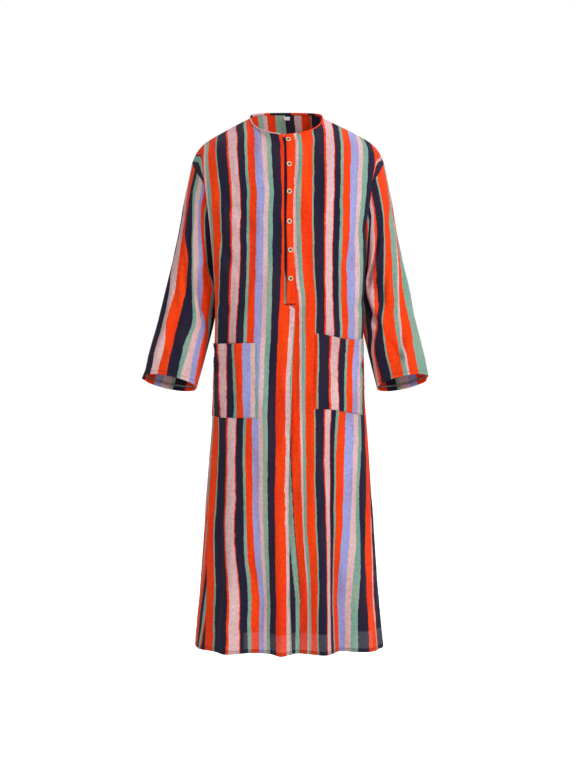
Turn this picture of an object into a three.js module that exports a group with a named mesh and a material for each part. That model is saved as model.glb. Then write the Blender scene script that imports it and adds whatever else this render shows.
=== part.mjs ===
// A man's long collarless thobe in thin striped cotton, filled out as it is when it is worn.
// Millimetres, +Z up, the front faces -Y. Left and right are the wearer's, and left is +X.
// The origin lies midway between the two high shoulder points, where the garment is carried.

import * as THREE from 'three';

// Driving sizes
const wall = 1.5; // cloth
const seamGap = 0.3; // between pieces that are sewn together
const hemHeight = -1312; // below the high shoulder points
const underarmHeight = -345;
const neckHalfWidth = 90;
const neckShift = -4; // the neck opening sits a little to the wearer's right
const frontNeck = { depth: 85, drop: 53, hollow: 1 };
const backNeck = { depth: 60, drop: -22, hollow: 0.6 };
const placketBottom = -472;
// The band stands proud, and its free edge gapes but for its two ends
const placketOverlap = { lift: 1.2, gape: 1.4, easeBelow: 60, easeAbove: 120 };
const bandInset = { over: 6.7, under: 2, sewn: 0.4 }; // free edges and sewn edge, from their columns
const bindingSkin = 0.9;
const bindingEase = 3.5; // seam gaps between it and the cloth it wraps
const bindingDrop = { inside: 5, outside: 1.4 };
const labelSize = { width: 11, height: 9 };
const labelTop = 8.5; // below the neck edge
const labelThickness = 0.8;
const labelGap = 1.2; // it hangs a little free of the back
const buttonRadius = 6;
const buttonHeight = 2.8;
const buttonSides = 12;
// Height on the front, and place across as a share of the half panel
const buttonPlaces = [
  { height: -30, across: 0.0065 },
  { height: -124, across: 0.0075 },
  { height: -198, across: 0.0075 },
  { height: -272, across: 0.0095 },
  { height: -341, across: 0.0155 },
  { height: -410, across: 0.0165 },
];
// Shares of the radius and of the height at the turns of the button's profile
const buttonTurns = { foot: 0.82, side: 0.97, lip: 0.82, dish: 0.62, low: 0.4, high: 0.82, floor: 0.55 };
const cuffPitch = 17; // the cuff opening tilts forward: front edge this far above its centre
const pocketRaise = 13; // the left pocket is sewn this much higher than the right one

// Ring sections of the skirt and trunk, hem first: height, half width to the right and left, depth
// to the front and back, squareness of the ring (1 is an ellipse), hollow that the arm presses into
// the side, and the angle of the right and left side seam from the centre front.
const sectionTable = [
  [-1312, 231, 237, 140, 146, 0.7, 0, 62, 91],
  [-1155, 217, 222, 138, 140, 0.74, 0, 67, 91],
  [-975, 205, 210, 136, 132, 0.8, 0, 75, 90],
  [-795, 192, 199, 134, 124, 0.86, 0, 84, 90],
  [-705, 187, 192, 134, 120, 0.88, 0.04, 88, 90],
  [-620, 183, 189, 134, 117, 0.88, 0.1, 90, 90],
  [-545, 182, 187, 133, 116, 0.88, 0.18, 90, 90],
  [-470, 181, 187, 132, 116, 0.9, 0.26, 90, 90],
  [-417, 182, 188, 131, 117, 0.92, 0.28, 90, 90],
  [-345, 187, 191, 130, 120, 0.95, 0.28, 90, 90],
];
const sections = sectionTable.map((row) => {
  const [height, right, left, front, back, square, hollow, seamRight, seamLeft] = row;
  return { height, right, left, front, back, square, hollow, seamRight, seamLeft };
});
const hollowAngle = 98; // where round the ring the arm presses in, and over what spread
const hollowSpread = 27;

// Stations across half a panel, as a share of its half width, where the yoke's levels are given
const stations = { neck: 0.27, mid: 0.5, fold: 0.71, edge: 1 };

// Levels of the chest and back above the underarm: [x, y, z] at each station
const frontYoke = [
  { height: -290, centre: [0, -131, -290], neck: [95, -120, -290], mid: [160, -95, -290],
    fold: [191, -60, -290], edge: [177, -26, -298] },
  { height: -215, centre: [0, -128, -215], neck: [96, -117, -213], mid: [163, -94, -212],
    fold: [201, -66, -214], edge: [192, -50, -230] },
  { height: -140, centre: [0, -117, -145], neck: [95, -104, -138], mid: [162, -82, -138],
    fold: [209, -60, -150], edge: [208, -57, -170] },
  { height: -75, centre: [0, -101, -95], neck: [93, -66, -62], mid: [156, -52, -75],
    fold: [212, -38, -98], edge: [226, -38, -141] },
];
const backYoke = [
  { height: -290, centre: [0, 123, -290], neck: [92, 113, -290], mid: [152, 90, -290],
    fold: [170, 62, -290], edge: [177, 34, -298] },
  { height: -215, centre: [0, 124, -213], neck: [93, 115, -213], mid: [157, 95, -213],
    fold: [186, 74, -216], edge: [192, 60, -230] },
  { height: -140, centre: [0, 112, -130], neck: [94, 100, -128], mid: [160, 84, -132],
    fold: [204, 66, -148], edge: [208, 62, -172] },
  { height: -75, centre: [0, 86, -50], neck: [93, 54, -45], mid: [156, 46, -68],
    fold: [211, 38, -96], edge: [227, 40, -142] },
];
const topHeight = 0;

// The shoulder seam from the neck to the top of the armhole
const shoulderSeam = [
  { across: 0.27, x: 90, y: 0, z: 0 },
  { across: 0.5, x: 152, y: 2, z: -31 },
  { across: 0.71, x: 210, y: 4, z: -65 },
  { across: 0.86, x: 229, y: 5, z: -87 },
  { across: 1, x: 240, y: 5, z: -112 },
];

// Soft folds of the skirt: place round the panel at the hem and at the upper end, how far each
// stands out at the hem (minus is a trough), its half width, and the height where it dies out
const frontFolds = [
  { hemAt: -0.62, topAt: -0.48, depth: 24, spread: 0.13, top: -760 },
  { hemAt: -0.31, topAt: -0.25, depth: -5, spread: 0.1, top: -900 },
  { hemAt: -0.065, topAt: -0.1, depth: 26, spread: 0.075, top: -800 },
  { hemAt: 0.235, topAt: 0.15, depth: 21, spread: 0.08, top: -560 },
  { hemAt: 0.375, topAt: 0.26, depth: -17, spread: 0.08, top: -600 },
  { hemAt: 0.62, topAt: 0.55, depth: 13, spread: 0.11, top: -820 },
];
const backFolds = [
  { hemAt: -0.5, topAt: -0.4, depth: 18, spread: 0.1, top: -640 },
  { hemAt: -0.22, topAt: -0.2, depth: 20, spread: 0.09, top: -560 },
  { hemAt: 0.08, topAt: 0.05, depth: -10, spread: 0.08, top: -700 },
  { hemAt: 0.36, topAt: 0.28, depth: 21, spread: 0.1, top: -600 },
  { hemAt: 0.6, topAt: 0.5, depth: 12, spread: 0.09, top: -760 },
];
const foldDrop = 0.12; // a fold hangs lower by this share of how far it stands out

// The slit under the placket, and the pleat that takes up its width below: how the cloth goes
// across in layers, as the shift across (share of the half panel) and the depth inwards
const slit = { right: -0.027, left: 0.055 };
const pleatLayers = [
  { spread: 0.14, fold: -0.004, depth: 0 },
  { spread: 0.28, fold: 0.026, depth: 0.4 },
  { spread: 0.42, fold: 0.031, depth: 2.6 },
  { spread: 0.55, fold: 0.026, depth: 5 },
  { spread: 0.68, fold: -0.026, depth: 5.4 },
  { spread: 0.8, fold: -0.032, depth: 7.2 },
  { spread: 0.9, fold: -0.026, depth: 9 },
];
const pleatEdgeTop = 0.02; // the pleat's edge starts this much further to the left
const pleatDepth = 9;
const pleatEase = 0.13; // the cloth beyond the pleat comes out level again by here
const pleatRun = 60; // height over which the pleat forms below the placket
const pleatSettle = 200; // and over which its edge moves to its place
const pleatUpper = 5.2; // layers less deep than this move with the edge

// Sleeve sections below the armhole: share along the sleeve, outer and inner side lines (x away
// from the body, z), how far the middle lies back, half depth, rise of the front over the back
const sleeveTable = [
  [0.22, 264, -226, 177, -376, 14, 62, 0],
  [0.4, 288, -345, 172, -425, 11, 61, 0],
  [0.6, 315, -470, 184, -507, -2, 59, 4],
  [0.8, 339, -567, 204, -592, -25, 52, 10],
  [1, 360, -649, 226, -675, -50, 43, cuffPitch],
];
const sleeveSections = sleeveTable.map((row) => {
  const [along, outerX, outerZ, innerX, innerZ, back, depth, pitch] = row;
  return { along, outerX, outerZ, innerX, innerZ, back, depth, pitch };
});
const sleeveColumns = 24; // two to each row of the yoke, so that sleeve and armhole meet edge to edge
const leftSleeve = { shift: -9, slim: 3 }; // the wearer's left arm hangs a little closer at the cuff

// Drag folds of the sleeves: angle round the sleeve and how it turns downwards, depth, spread in
// degrees, and where along the sleeve each is deepest and how far it reaches
const sleeveFolds = [
  { at: 118, turn: -34, depth: -9, spread: 20, centre: 0.42, reach: 0.3 },
  { at: 62, turn: 24, depth: -6, spread: 18, centre: 0.62, reach: 0.22 },
  { at: 20, turn: 10, depth: -5, spread: 20, centre: 0.35, reach: 0.2 },
  { at: 250, turn: 26, depth: -9, spread: 22, centre: 0.5, reach: 0.3 },
  { at: 310, turn: -18, depth: -6, spread: 20, centre: 0.72, reach: 0.2 },
];

// Pockets: the places across of each one's sides, among the front grid's columns, and the heights
// of its ends
const pocketTop = -562;
const pocketBottom = -746;
const pocketEdges = { right: [-1, -0.256], left: [0.205, 0.757] };
const columnSlack = 0.001; // a column this near to a pocket's side is its edge
const pocketGape = { right: 3, left: 7, from: 0.55 }; // the mouth stands open, from this share up
const standOverlap = 0.025; // the button stand reaches this far behind the cloth beside the slit

// Colours of the striped cloth's main pieces
const orange = 0xf5501e;
const navy = 0x23264a;
const sage = 0x82aa96;
const pink = 0xe1bebe;
const lavender = 0xa5aae6;
const cream = 0xe9dcc0;
const white = 0xf4f2ee;

const degrees = Math.PI / 180;

// A smooth curve through values at rising knots that never overshoots them
function through(knots, values, t) {
  const last = knots.length - 1;
  const rise = (k) => (values[k + 1] - values[k]) / (knots[k + 1] - knots[k]);
  const slope = (k) => {
    if (k === 0) return rise(0);
    if (k === last) return rise(last - 1);
    const before = rise(k - 1);
    const after = rise(k);
    return before * after <= 0 ? 0 : (2 * before * after) / (before + after);
  };
  let k = 0;
  while (k < last - 1 && t > knots[k + 1]) k += 1;
  const span = knots[k + 1] - knots[k];
  const u = Math.min(Math.max((t - knots[k]) / span, 0), 1);
  const stay = u * u * (3 - 2 * u);
  return (
    values[k] * (1 - stay) +
    values[k + 1] * stay +
    span * (slope(k) * u * (1 - u) * (1 - u) - slope(k + 1) * u * u * (1 - u))
  );
}

function smoothStep(from, to, t) {
  const u = Math.min(Math.max((t - from) / (to - from), 0), 1);
  return u * u * (3 - 2 * u);
}

function evenly(from, to, steps) {
  return Array.from({ length: steps + 1 }, (_, k) => from + ((to - from) * k) / steps);
}

// Share of the ellipse's half width that is left at an angle when the arm presses the side in
function sideReach(angle, hollow) {
  const away = (angle - hollowAngle) / hollowSpread;
  return Math.sin(angle * degrees) * (1 - hollow * Math.exp(-away * away));
}

const fullestReach = (hollow) => Math.max(...evenly(40, 90, 50).map((angle) => sideReach(angle, hollow)));

// A point of a ring section: angle from the centre front, plus to the wearer's left
function ringPoint(section, angle) {
  const turn = Math.abs(angle);
  const half = angle < 0 ? -section.right : section.left;
  const x = (half * sideReach(turn, section.hollow)) / fullestReach(section.hollow);
  const cosine = Math.cos(turn * degrees);
  const depth = cosine > 0 ? -section.front : section.back;
  return [x, depth * Math.abs(cosine) ** section.square, section.height];
}

// A yoke level at a place across the panel, even about the centre
function yokePoint(level, across) {
  const { neck, mid, fold, edge } = stations;
  const turn = Math.sign(across) || 1;
  const mirror = [-level.neck[0], level.neck[1], level.neck[2]];
  const rails = [mirror, level.centre, level.neck, level.mid, level.fold, level.edge];
  const knots = [-neck, 0, neck, mid, fold, edge];
  const point = [0, 1, 2].map((axis) => through(knots, rails.map((rail) => rail[axis]), Math.abs(across)));
  point[0] *= turn;
  return point;
}

// The upper edge of a panel: the neck curve as far as the high shoulder point, then the seam
function topPoint(neckShape, across) {
  const turn = Math.sign(across) || 1;
  const place = Math.abs(across);
  const ease = neckShift * (1 - smoothStep(stations.neck, stations.fold, place));
  if (place < stations.neck) {
    const sweep = (place / stations.neck) * 90 * degrees;
    const level = Math.cos(sweep) ** neckShape.hollow;
    const side = neckShape === frontNeck ? -1 : 1;
    return [
      turn * neckHalfWidth * Math.sin(sweep) + ease,
      side * neckShape.depth * Math.cos(sweep),
      -neckShape.drop * level,
    ];
  }
  const knots = shoulderSeam.map((point) => point.across);
  const [x, y, z] = ['x', 'y', 'z'].map((axis) => through(knots, shoulderSeam.map((p) => p[axis]), place));
  return [turn * x + ease, y, z];
}

const levels = [...sections.map((row) => row.height), ...frontYoke.map((row) => row.height), topHeight];

// A panel's surface. across runs from -1 at its right seam to 1 at its left one, height is the
// level that the row has at the centre of the trunk.
function panelPoint(isFront, across, height) {
  const yoke = isFront ? frontYoke : backYoke;
  const points = [
    ...sections.map((section) => {
      const seam = across < 0 ? section.seamRight : section.seamLeft;
      const angle = isFront ? across * seam : 180 - Math.abs(across) * (180 - seam);
      return ringPoint(section, isFront || across >= 0 ? angle : -angle);
    }),
    ...yoke.map((level) => yokePoint(level, across)),
    topPoint(isFront ? frontNeck : backNeck, across),
  ];
  return new THREE.Vector3(
    ...[0, 1, 2].map((axis) => through(levels, points.map((point) => point[axis]), height)),
  );
}

// How far the skirt's folds stand out at a place
function foldDepth(folds, across, height) {
  let depth = 0;
  for (const fold of folds) {
    const rise = (height - hemHeight) / (fold.top - hemHeight);
    if (rise >= 1) continue;
    const centre = fold.hemAt + (fold.topAt - fold.hemAt) * rise;
    const away = (across - centre) / (fold.spread * (1 - 0.35 * rise));
    depth += fold.depth * (1 - smoothStep(0, 1, rise)) * Math.exp(-away * away);
  }
  return depth;
}

// Unit normal of a panel's smooth surface, pointing out of the garment
function panelNormal(isFront, across, height) {
  const step = 0.01;
  const span = 6;
  const inside = (value) => Math.min(Math.max(value, -1), 1);
  const along = panelPoint(isFront, inside(across + step), height).sub(
    panelPoint(isFront, inside(across - step), height),
  );
  const up = panelPoint(isFront, across, Math.min(height + span, topHeight)).sub(
    panelPoint(isFront, across, Math.max(height - span, hemHeight)),
  );
  return along.cross(up).normalize().multiplyScalar(isFront ? 1 : -1);
}

// The panel with its skirt folds; lift moves the point outwards
function drapedPoint(isFront, across, height, lift = 0) {
  const fold = foldDepth(isFront ? frontFolds : backFolds, across, height);
  const normal = panelNormal(isFront, across, height);
  const point = panelPoint(isFront, across, height).addScaledVector(normal, fold + lift);
  return point.setZ(point.z - fold * foldDrop);
}

// Outward direction at each point of a grid, from its neighbours. Rows run up, columns run so
// that the outside faces the viewer when they go to the right.
function gridNormals(grid, wraps) {
  const rows = grid.length;
  const columns = grid[0].length;
  const column = (j) => (wraps ? (j + columns) % columns : Math.min(Math.max(j, 0), columns - 1));
  return grid.map((row, i) =>
    row.map((_, j) => {
      const along = row[column(j + 1)].clone().sub(row[column(j - 1)]);
      const up = grid[Math.min(i + 1, rows - 1)][j].clone().sub(grid[Math.max(i - 1, 0)][j]);
      return along.cross(up).normalize();
    }),
  );
}

// A closed wall of cloth: the grid is its outside, the inside lies one wall further in, and
// every edge of the kept cells gets a rim
function clothSolid(grid, normals, { wraps = false, keeps = () => true, thickness = wall } = {}) {
  const rows = grid.length - 1;
  const columns = wraps ? grid[0].length : grid[0].length - 1;
  const count = grid[0].length;
  const inner = grid.map((row, i) => row.map((p, j) => p.clone().addScaledVector(normals[i][j], -thickness)));
  const corners = [];
  const put = (...points) => points.forEach((p) => corners.push(p.x, p.y, p.z));
  const kept = (i, j) => {
    if (i < 0 || i >= rows) return false;
    if (!wraps && (j < 0 || j >= columns)) return false;
    return keeps(i, (j + columns) % columns);
  };
  for (let i = 0; i < rows; i += 1) {
    for (let j = 0; j < columns; j += 1) {
      if (!kept(i, j)) continue;
      const next = (j + 1) % count;
      const places = [[i, j], [i, next], [i + 1, next], [i + 1, j]];
      const [a, b, c, d] = places.map(([r, k]) => grid[r][k]);
      const [e, f, g, h] = places.map(([r, k]) => inner[r][k]);
      put(a, b, c, a, c, d);
      put(e, g, f, e, h, g);
      if (!kept(i - 1, j)) put(b, a, e, b, e, f);
      if (!kept(i, j + 1)) put(c, b, f, c, f, g);
      if (!kept(i + 1, j)) put(d, c, g, d, g, h);
      if (!kept(i, j - 1)) put(a, d, h, a, h, e);
    }
  }
  const geometry = new THREE.BufferGeometry();
  geometry.setAttribute('position', new THREE.Float32BufferAttribute(corners, 3));
  geometry.computeVertexNormals();
  return geometry;
}

// Pulls the outer rows and columns of a grid in, so that neighbouring pieces stay a seam gap apart
function insetEdges(grid, sides) {
  const draw = (point, towards) => {
    const way = towards.clone().sub(point);
    point.addScaledVector(way, (seamGap * 0.65) / way.length());
  };
  const lastRow = grid.length - 1;
  const lastColumn = grid[0].length - 1;
  if (sides.columns) {
    grid.forEach((row) => draw(row[0], row[1]));
    grid.forEach((row) => draw(row[lastColumn], row[lastColumn - 1]));
  }
  if (sides.top) grid[lastRow].forEach((point, j) => draw(point, grid[lastRow - 1][j]));
}

// At the seams the wall's rim stands square to the seam, so that both pieces share its plane
function squareRims(grid, normals, across) {
  const last = grid.length - 1;
  grid.forEach((row, i) => {
    for (const j of [0, row.length - 1]) {
      if (heights[i] <= underarmHeight) normals[i][j].setY(0).normalize();
    }
  });
  normals[last].forEach((normal, j) => {
    if (Math.abs(across[j]) >= stations.neck) normal.setY(0).normalize();
  });
}

function clothMesh(name, geometry, colour) {
  const material = new THREE.MeshStandardMaterial({ color: colour, roughness: 0.92, metalness: 0 });
  const mesh = new THREE.Mesh(geometry, material);
  mesh.name = name;
  return mesh;
}

// Rows of the front, hem to shoulder, with rows at the pocket's ends and the placket's end
const heights = [
  ...evenly(hemHeight, pocketBottom, 10),
  ...evenly(pocketBottom, pocketTop, 4).slice(1),
  placketBottom - pleatRun,
  placketBottom - pleatRun / 2,
  placketBottom,
  ...evenly(placketBottom, underarmHeight, 4).slice(1),
  ...evenly(underarmHeight, topHeight, 12).slice(1),
];
const pleatColumns = pleatLayers.length;
// closer together where the neck edge turns
const nearNeck = [-pocketEdges.right[1], 0.23, pocketEdges.left[0], 0.175, 0.14];
const besideSlit = 0.09;
const outerSteps = { front: 9, back: 7 }; // columns from the neck point to the side
const rightColumns = [
  ...evenly(-1, -stations.neck, outerSteps.front),
  ...nearNeck.map((across) => -across),
  -besideSlit,
  slit.right - standOverlap,
  slit.right,
];
const leftColumns = [slit.left, ...[...nearNeck].reverse(), ...evenly(stations.neck, 1, outerSteps.front)];
const firstPleat = rightColumns.length;
const slitRow = heights.indexOf(placketBottom);
const overColumns = [...rightColumns, ...pleatLayers.map(() => 0), ...leftColumns];

// The left half's rows bend up where its pocket is sewn
const raiseFrom = { across: 0.08, height: -900 };
const rowHeight = (across, height) => {
  const over = smoothStep(raiseFrom.across, pocketEdges.left[0], across);
  const above = smoothStep(raiseFrom.height, pocketBottom, height);
  return height + pocketRaise * over * above * (1 - smoothStep(pocketTop, placketBottom, height));
};

// A point of the front with the pleat in it
function frontPoint(column, height) {
  const formed = 1 - smoothStep(placketBottom - pleatRun, placketBottom, height);
  const layer = pleatLayers[column - firstPleat];
  if (layer) {
    const flat = slit.right + (slit.left - slit.right) * layer.spread;
    const settled = smoothStep(placketBottom - pleatSettle, placketBottom, height) * pleatEdgeTop;
    const shift = layer.depth < pleatUpper ? settled : 0;
    const across = flat + (layer.fold + shift - flat) * formed;
    return drapedPoint(true, across, height, -layer.depth * Math.sqrt(formed));
  }
  const across = overColumns[column];
  const beyond = across > 0 ? 1 - smoothStep(slit.left, pleatEase, across) : 0;
  return drapedPoint(true, across, rowHeight(across, height), -pleatDepth * beyond * Math.sqrt(formed));
}

const frontGrid = heights.map((height) => overColumns.map((_, column) => frontPoint(column, height)));
const frontNormals = gridNormals(frontGrid, false);
insetEdges(frontGrid, { columns: true, top: true });
squareRims(frontGrid, frontNormals, overColumns);

const besideCentre = 0.075;
const halfNeck = [...nearNeck, besideCentre];
const backColumns = [
  ...evenly(1, stations.neck, outerSteps.back),
  ...halfNeck,
  0,
  ...halfNeck.map((across) => -across).reverse(),
  ...evenly(-stations.neck, -1, outerSteps.back),
];
const backGrid = heights.map((height) => backColumns.map((across) => drapedPoint(false, across, height)));
const backNormals = gridNormals(backGrid, false);
insetEdges(backGrid, { columns: true, top: true });
squareRims(backGrid, backNormals, backColumns);

function frontPanel() {
  const inSlit = (i, j) => i >= slitRow && j >= firstPleat - 1 && j < firstPleat + pleatColumns;
  const geometry = clothSolid(frontGrid, frontNormals, { keeps: (i, j) => !inSlit(i, j) });
  return clothMesh('front_panel', geometry, orange);
}

function backPanel() {
  return clothMesh('back_panel', clothSolid(backGrid, backNormals), navy);
}

// The armhole that front and back leave, turned 0 at the shoulder, 90 at the front, 180 under
// the arm and 270 at the back
function armholePoint(side, turn) {
  const isFront = turn <= 180;
  const share = isFront ? turn / 180 : (360 - turn) / 180;
  const height = topHeight + (underarmHeight - topHeight) * share;
  const point = panelPoint(isFront, side, height);
  point.x += side * (seamGap + 0.2);
  point.z -= seamGap * 2 * Math.max(Math.cos(turn * degrees), 0);
  return point;
}

function sleevePoint(side, turn, along) {
  const angle = turn * degrees;
  const start = armholePoint(side, turn);
  const knots = [0, ...sleeveSections.map((section) => section.along)];
  const rings = sleeveSections.map((section) => {
    const ease = side > 0 ? section.along ** 2 : 0;
    const middleX = (section.outerX + section.innerX) / 2 + leftSleeve.shift * ease;
    const halfX = (section.outerX - section.innerX) / 2 - leftSleeve.slim * ease;
    const middleZ = (section.outerZ + section.innerZ) / 2;
    return [
      side * (middleX + halfX * Math.cos(angle)),
      section.back - section.depth * Math.sin(angle),
      middleZ + (section.outerZ - middleZ) * Math.cos(angle) + section.pitch * Math.sin(angle),
    ];
  });
  const points = [start.toArray(), ...rings];
  const point = new THREE.Vector3(
    ...[0, 1, 2].map((axis) => through(knots, points.map((p) => p[axis]), along)),
  );
  let out = 0;
  for (const fold of sleeveFolds) {
    const place = (along - fold.centre) / fold.reach;
    const away = (turn - fold.at - fold.turn * place) / fold.spread;
    out += fold.depth * Math.exp(-away * away - place * place);
  }
  const outward = new THREE.Vector3(side * Math.cos(angle), -Math.sin(angle), 0);
  return point.addScaledVector(outward, out);
}

function sleeve(name, side, colour) {
  const rows = evenly(1, 0, 15);
  const turns = evenly(0, 360, sleeveColumns).slice(side > 0 ? 1 : 0, side > 0 ? undefined : -1);
  if (side > 0) turns.reverse();
  const grid = rows.map((along) => turns.map((turn) => sleevePoint(side, turn % 360, along)));
  const normals = gridNormals(grid, true);
  return clothMesh(name, clothSolid(grid, normals, { wraps: true }), colour);
}

// A patch of the front's own points, moved out
function laidOnFront(name, rowRange, columnRange, lift, colour) {
  const rows = heights.map((_, i) => i).filter((i) => i >= rowRange[0] && i <= rowRange[1]);
  const columns = overColumns.map((_, j) => j).filter((j) => j >= columnRange[0] && j <= columnRange[1]);
  const normals = rows.map((i) => columns.map((j) => frontNormals[i][j]));
  const grid = rows.map((i, r) =>
    columns.map((j, c) => {
      const out = seamGap + wall + lift(r / (rows.length - 1), c / (columns.length - 1));
      return frontGrid[i][j].clone().addScaledVector(frontNormals[i][j], out);
    }),
  );
  return clothMesh(name, clothSolid(grid, normals), colour);
}

function pocket(name, side, colour) {
  const rowRange = [heights.indexOf(pocketBottom), heights.indexOf(pocketTop)];
  const edges = side < 0 ? pocketEdges.right : pocketEdges.left;
  const isAt = (edge) => (across) => Math.abs(across - edge) < columnSlack;
  const columnRange = edges.map((edge) => overColumns.findIndex(isAt(edge)));
  const gape = side < 0 ? pocketGape.right : pocketGape.left;
  const lift = (up, across) => {
    const bow = Math.sin(Math.PI * across);
    return gape * smoothStep(pocketGape.from, 1, up) * bow * bow;
  };
  return laidOnFront(name, rowRange, columnRange, lift, colour);
}

// A placket band is made from the front's points over the slit, moved out or in
function placketBand(name, columns, lift, freeInset, colour) {
  const rows = heights.map((_, i) => i).filter((i) => i >= slitRow);
  const normals = rows.map((i) => columns.map((j) => frontNormals[i][j]));
  const grid = rows.map((i, r) =>
    columns.map((j, c) => {
      const out = lift(heights[i], c / (columns.length - 1));
      const point = frontGrid[i][j].clone().addScaledVector(normals[r][c], out);
      return r === 0 ? point.setZ(point.z + seamGap) : point;
    }),
  );
  const [first, last] = [0, columns.length - 1];
  for (const row of grid) {
    const width = row[last].clone().sub(row[first]);
    row[first].addScaledVector(width, freeInset / width.length());
    row[last].addScaledVector(width, -bandInset.sewn / width.length());
  }
  return clothMesh(name, clothSolid(grid, normals), colour);
}

const slitColumns = [firstPleat - 1, firstPleat + 2, firstPleat + 5, firstPleat + pleatColumns];
const standColumns = [firstPleat - 2, firstPleat - 1, firstPleat + 2, firstPleat + 5];
const bandLift = (height, across) => {
  const { lift, gape, easeBelow, easeAbove } = placketOverlap;
  const fromBelow = smoothStep(placketBottom, placketBottom + easeBelow, height);
  const fromAbove = 1 - smoothStep(topHeight - easeAbove, topHeight, height);
  return lift + gape * (1 - smoothStep(0, 1, across)) * fromBelow * fromAbove;
};

function buttonProfile() {
  const { foot, side, lip, dish, low, high, floor } = buttonTurns;
  const shares = [[0, 0], [foot, 0], [1, low], [side, high], [lip, 1], [dish, floor], [0, floor]];
  return shares.map(([out, up]) => new THREE.Vector2(buttonRadius * out, buttonHeight * up));
}

function buttons(band) {
  const away = 40;
  return buttonPlaces.map(({ height, across }, k) => {
    const geometry = new THREE.LatheGeometry(buttonProfile(), buttonSides);
    const outward = panelNormal(true, across, height);
    const start = drapedPoint(true, across, height, away);
    const [seat] = new THREE.Raycaster(start, outward.clone().negate()).intersectObject(band);
    const mesh = clothMesh(`button_${k + 1}`, geometry, cream);
    mesh.material.roughness = 0.45;
    mesh.position.copy(seat.point).addScaledVector(seat.face.normal, seamGap);
    mesh.quaternion.setFromUnitVectors(new THREE.Vector3(0, 1, 0), seat.face.normal);
    return mesh;
  });
}

// The neck edge's own points, from the slit's right side round the back to its left side, each
// with the panel's point below it and the way out of the cloth at both
function neckEdge() {
  const top = heights.length - 1;
  const stop = firstPleat + pleatColumns;
  const take = (grid, normals) => (j) => ({
    edge: grid[top][j],
    below: grid[top - 1][j],
    out: normals[top][j],
    outBelow: normals[top - 1][j],
  });
  const columnsOf = (list, keep) => list.map((_, j) => j).filter((j) => keep(j, list[j])).reverse();
  const right = columnsOf(overColumns, (j, s) => j < firstPleat - 1 && s >= -stations.neck);
  const left = columnsOf(overColumns, (j, s) => j > stop && s <= stations.neck);
  const back = columnsOf(backColumns, (j, s) => Math.abs(s) < stations.neck);
  return [
    ...right.map(take(frontGrid, frontNormals)),
    ...back.map(take(backGrid, backNormals)),
    ...left.map(take(frontGrid, frontNormals)),
  ];
}

// The binding folds over the neck edge: a narrow channel, open downwards
function neckBinding() {
  const clear = seamGap * bindingEase;
  const places = neckEdge();
  const rings = places.map(({ edge, below, out, outBelow }, k) => {
    const before = places[Math.max(k - 1, 0)].edge;
    const after = places[Math.min(k + 1, places.length - 1)].edge;
    const down = out.clone().cross(after.clone().sub(before)).normalize();
    const innerEdge = edge.clone().addScaledVector(out, -wall);
    const innerBelow = below.clone().addScaledVector(outBelow, -wall);
    const innerDown = innerBelow.sub(innerEdge).normalize();
    const outside = (fall, away) => edge.clone().addScaledVector(down, fall).addScaledVector(out, away);
    const inside = (fall, away) => {
      const place = innerEdge.clone().addScaledVector(fall < 0 ? down : innerDown, fall);
      return place.addScaledVector(out, -away);
    };
    return [
      inside(bindingDrop.inside, clear + bindingSkin),
      inside(bindingDrop.inside, clear),
      inside(-clear, clear),
      outside(-clear, clear),
      outside(bindingDrop.outside, clear),
      outside(bindingDrop.outside, clear + bindingSkin),
      outside(-clear - bindingSkin, clear + bindingSkin),
      inside(-clear - bindingSkin, clear + bindingSkin),
    ];
  });
  return clothMesh('neck_binding', sweptSolid(rings), pink);
}

// A bare label inside the back neck, just under the binding
function neckLabel() {
  const rows = [-labelTop - labelSize.height, -labelTop];
  const grid = rows.map((height) =>
    [labelSize.width / 2, -labelSize.width / 2].map((x) => {
      const across = (x * stations.neck) / neckHalfWidth;
      return drapedPoint(false, across, height, -wall - labelGap);
    }),
  );
  const geometry = clothSolid(grid, gridNormals(grid, false), { thickness: labelThickness });
  return clothMesh('neck_label', geometry, white);
}

// A solid through closed rings of corners, with flat ends
function sweptSolid(rings) {
  const count = rings[0].length;
  const corners = [];
  const put = (...points) => points.forEach((p) => corners.push(p.x, p.y, p.z));
  for (let k = 0; k + 1 < rings.length; k += 1) {
    for (let m = 0; m < count; m += 1) {
      const next = (m + 1) % count;
      put(rings[k][m], rings[k + 1][next], rings[k + 1][m]);
      put(rings[k][m], rings[k][next], rings[k + 1][next]);
    }
  }
  const contour = [[0, 0], [1, 0], [1, 4], [4, 4], [4, 1], [5, 1], [5, 5], [0, 5]];
  const faces = THREE.ShapeUtils.triangulateShape(contour.map(([x, y]) => new THREE.Vector2(x, y)), []);
  const first = rings[0];
  const last = rings[rings.length - 1];
  for (const [a, b, c] of faces) {
    put(first[a], first[c], first[b]);
    put(last[a], last[b], last[c]);
  }
  const geometry = new THREE.BufferGeometry();
  geometry.setAttribute('position', new THREE.Float32BufferAttribute(corners, 3));
  geometry.computeVertexNormals();
  return geometry;
}

const thobe = new THREE.Group();
thobe.add(frontPanel());
thobe.add(backPanel());
thobe.add(sleeve('sleeve_left', 1, orange));
thobe.add(sleeve('sleeve_right', -1, navy));
thobe.add(pocket('pocket_left', 1, sage));
thobe.add(pocket('pocket_right', -1, lavender));
const over = placketBand('placket_over', slitColumns, bandLift, bandInset.over, orange);
thobe.add(over);
const standLift = () => -wall - seamGap;
thobe.add(placketBand('placket_under', standColumns, standLift, bandInset.under, navy));
thobe.add(neckBinding());
thobe.add(neckLabel());
thobe.add(...buttons(over));

export default thobe;
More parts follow.
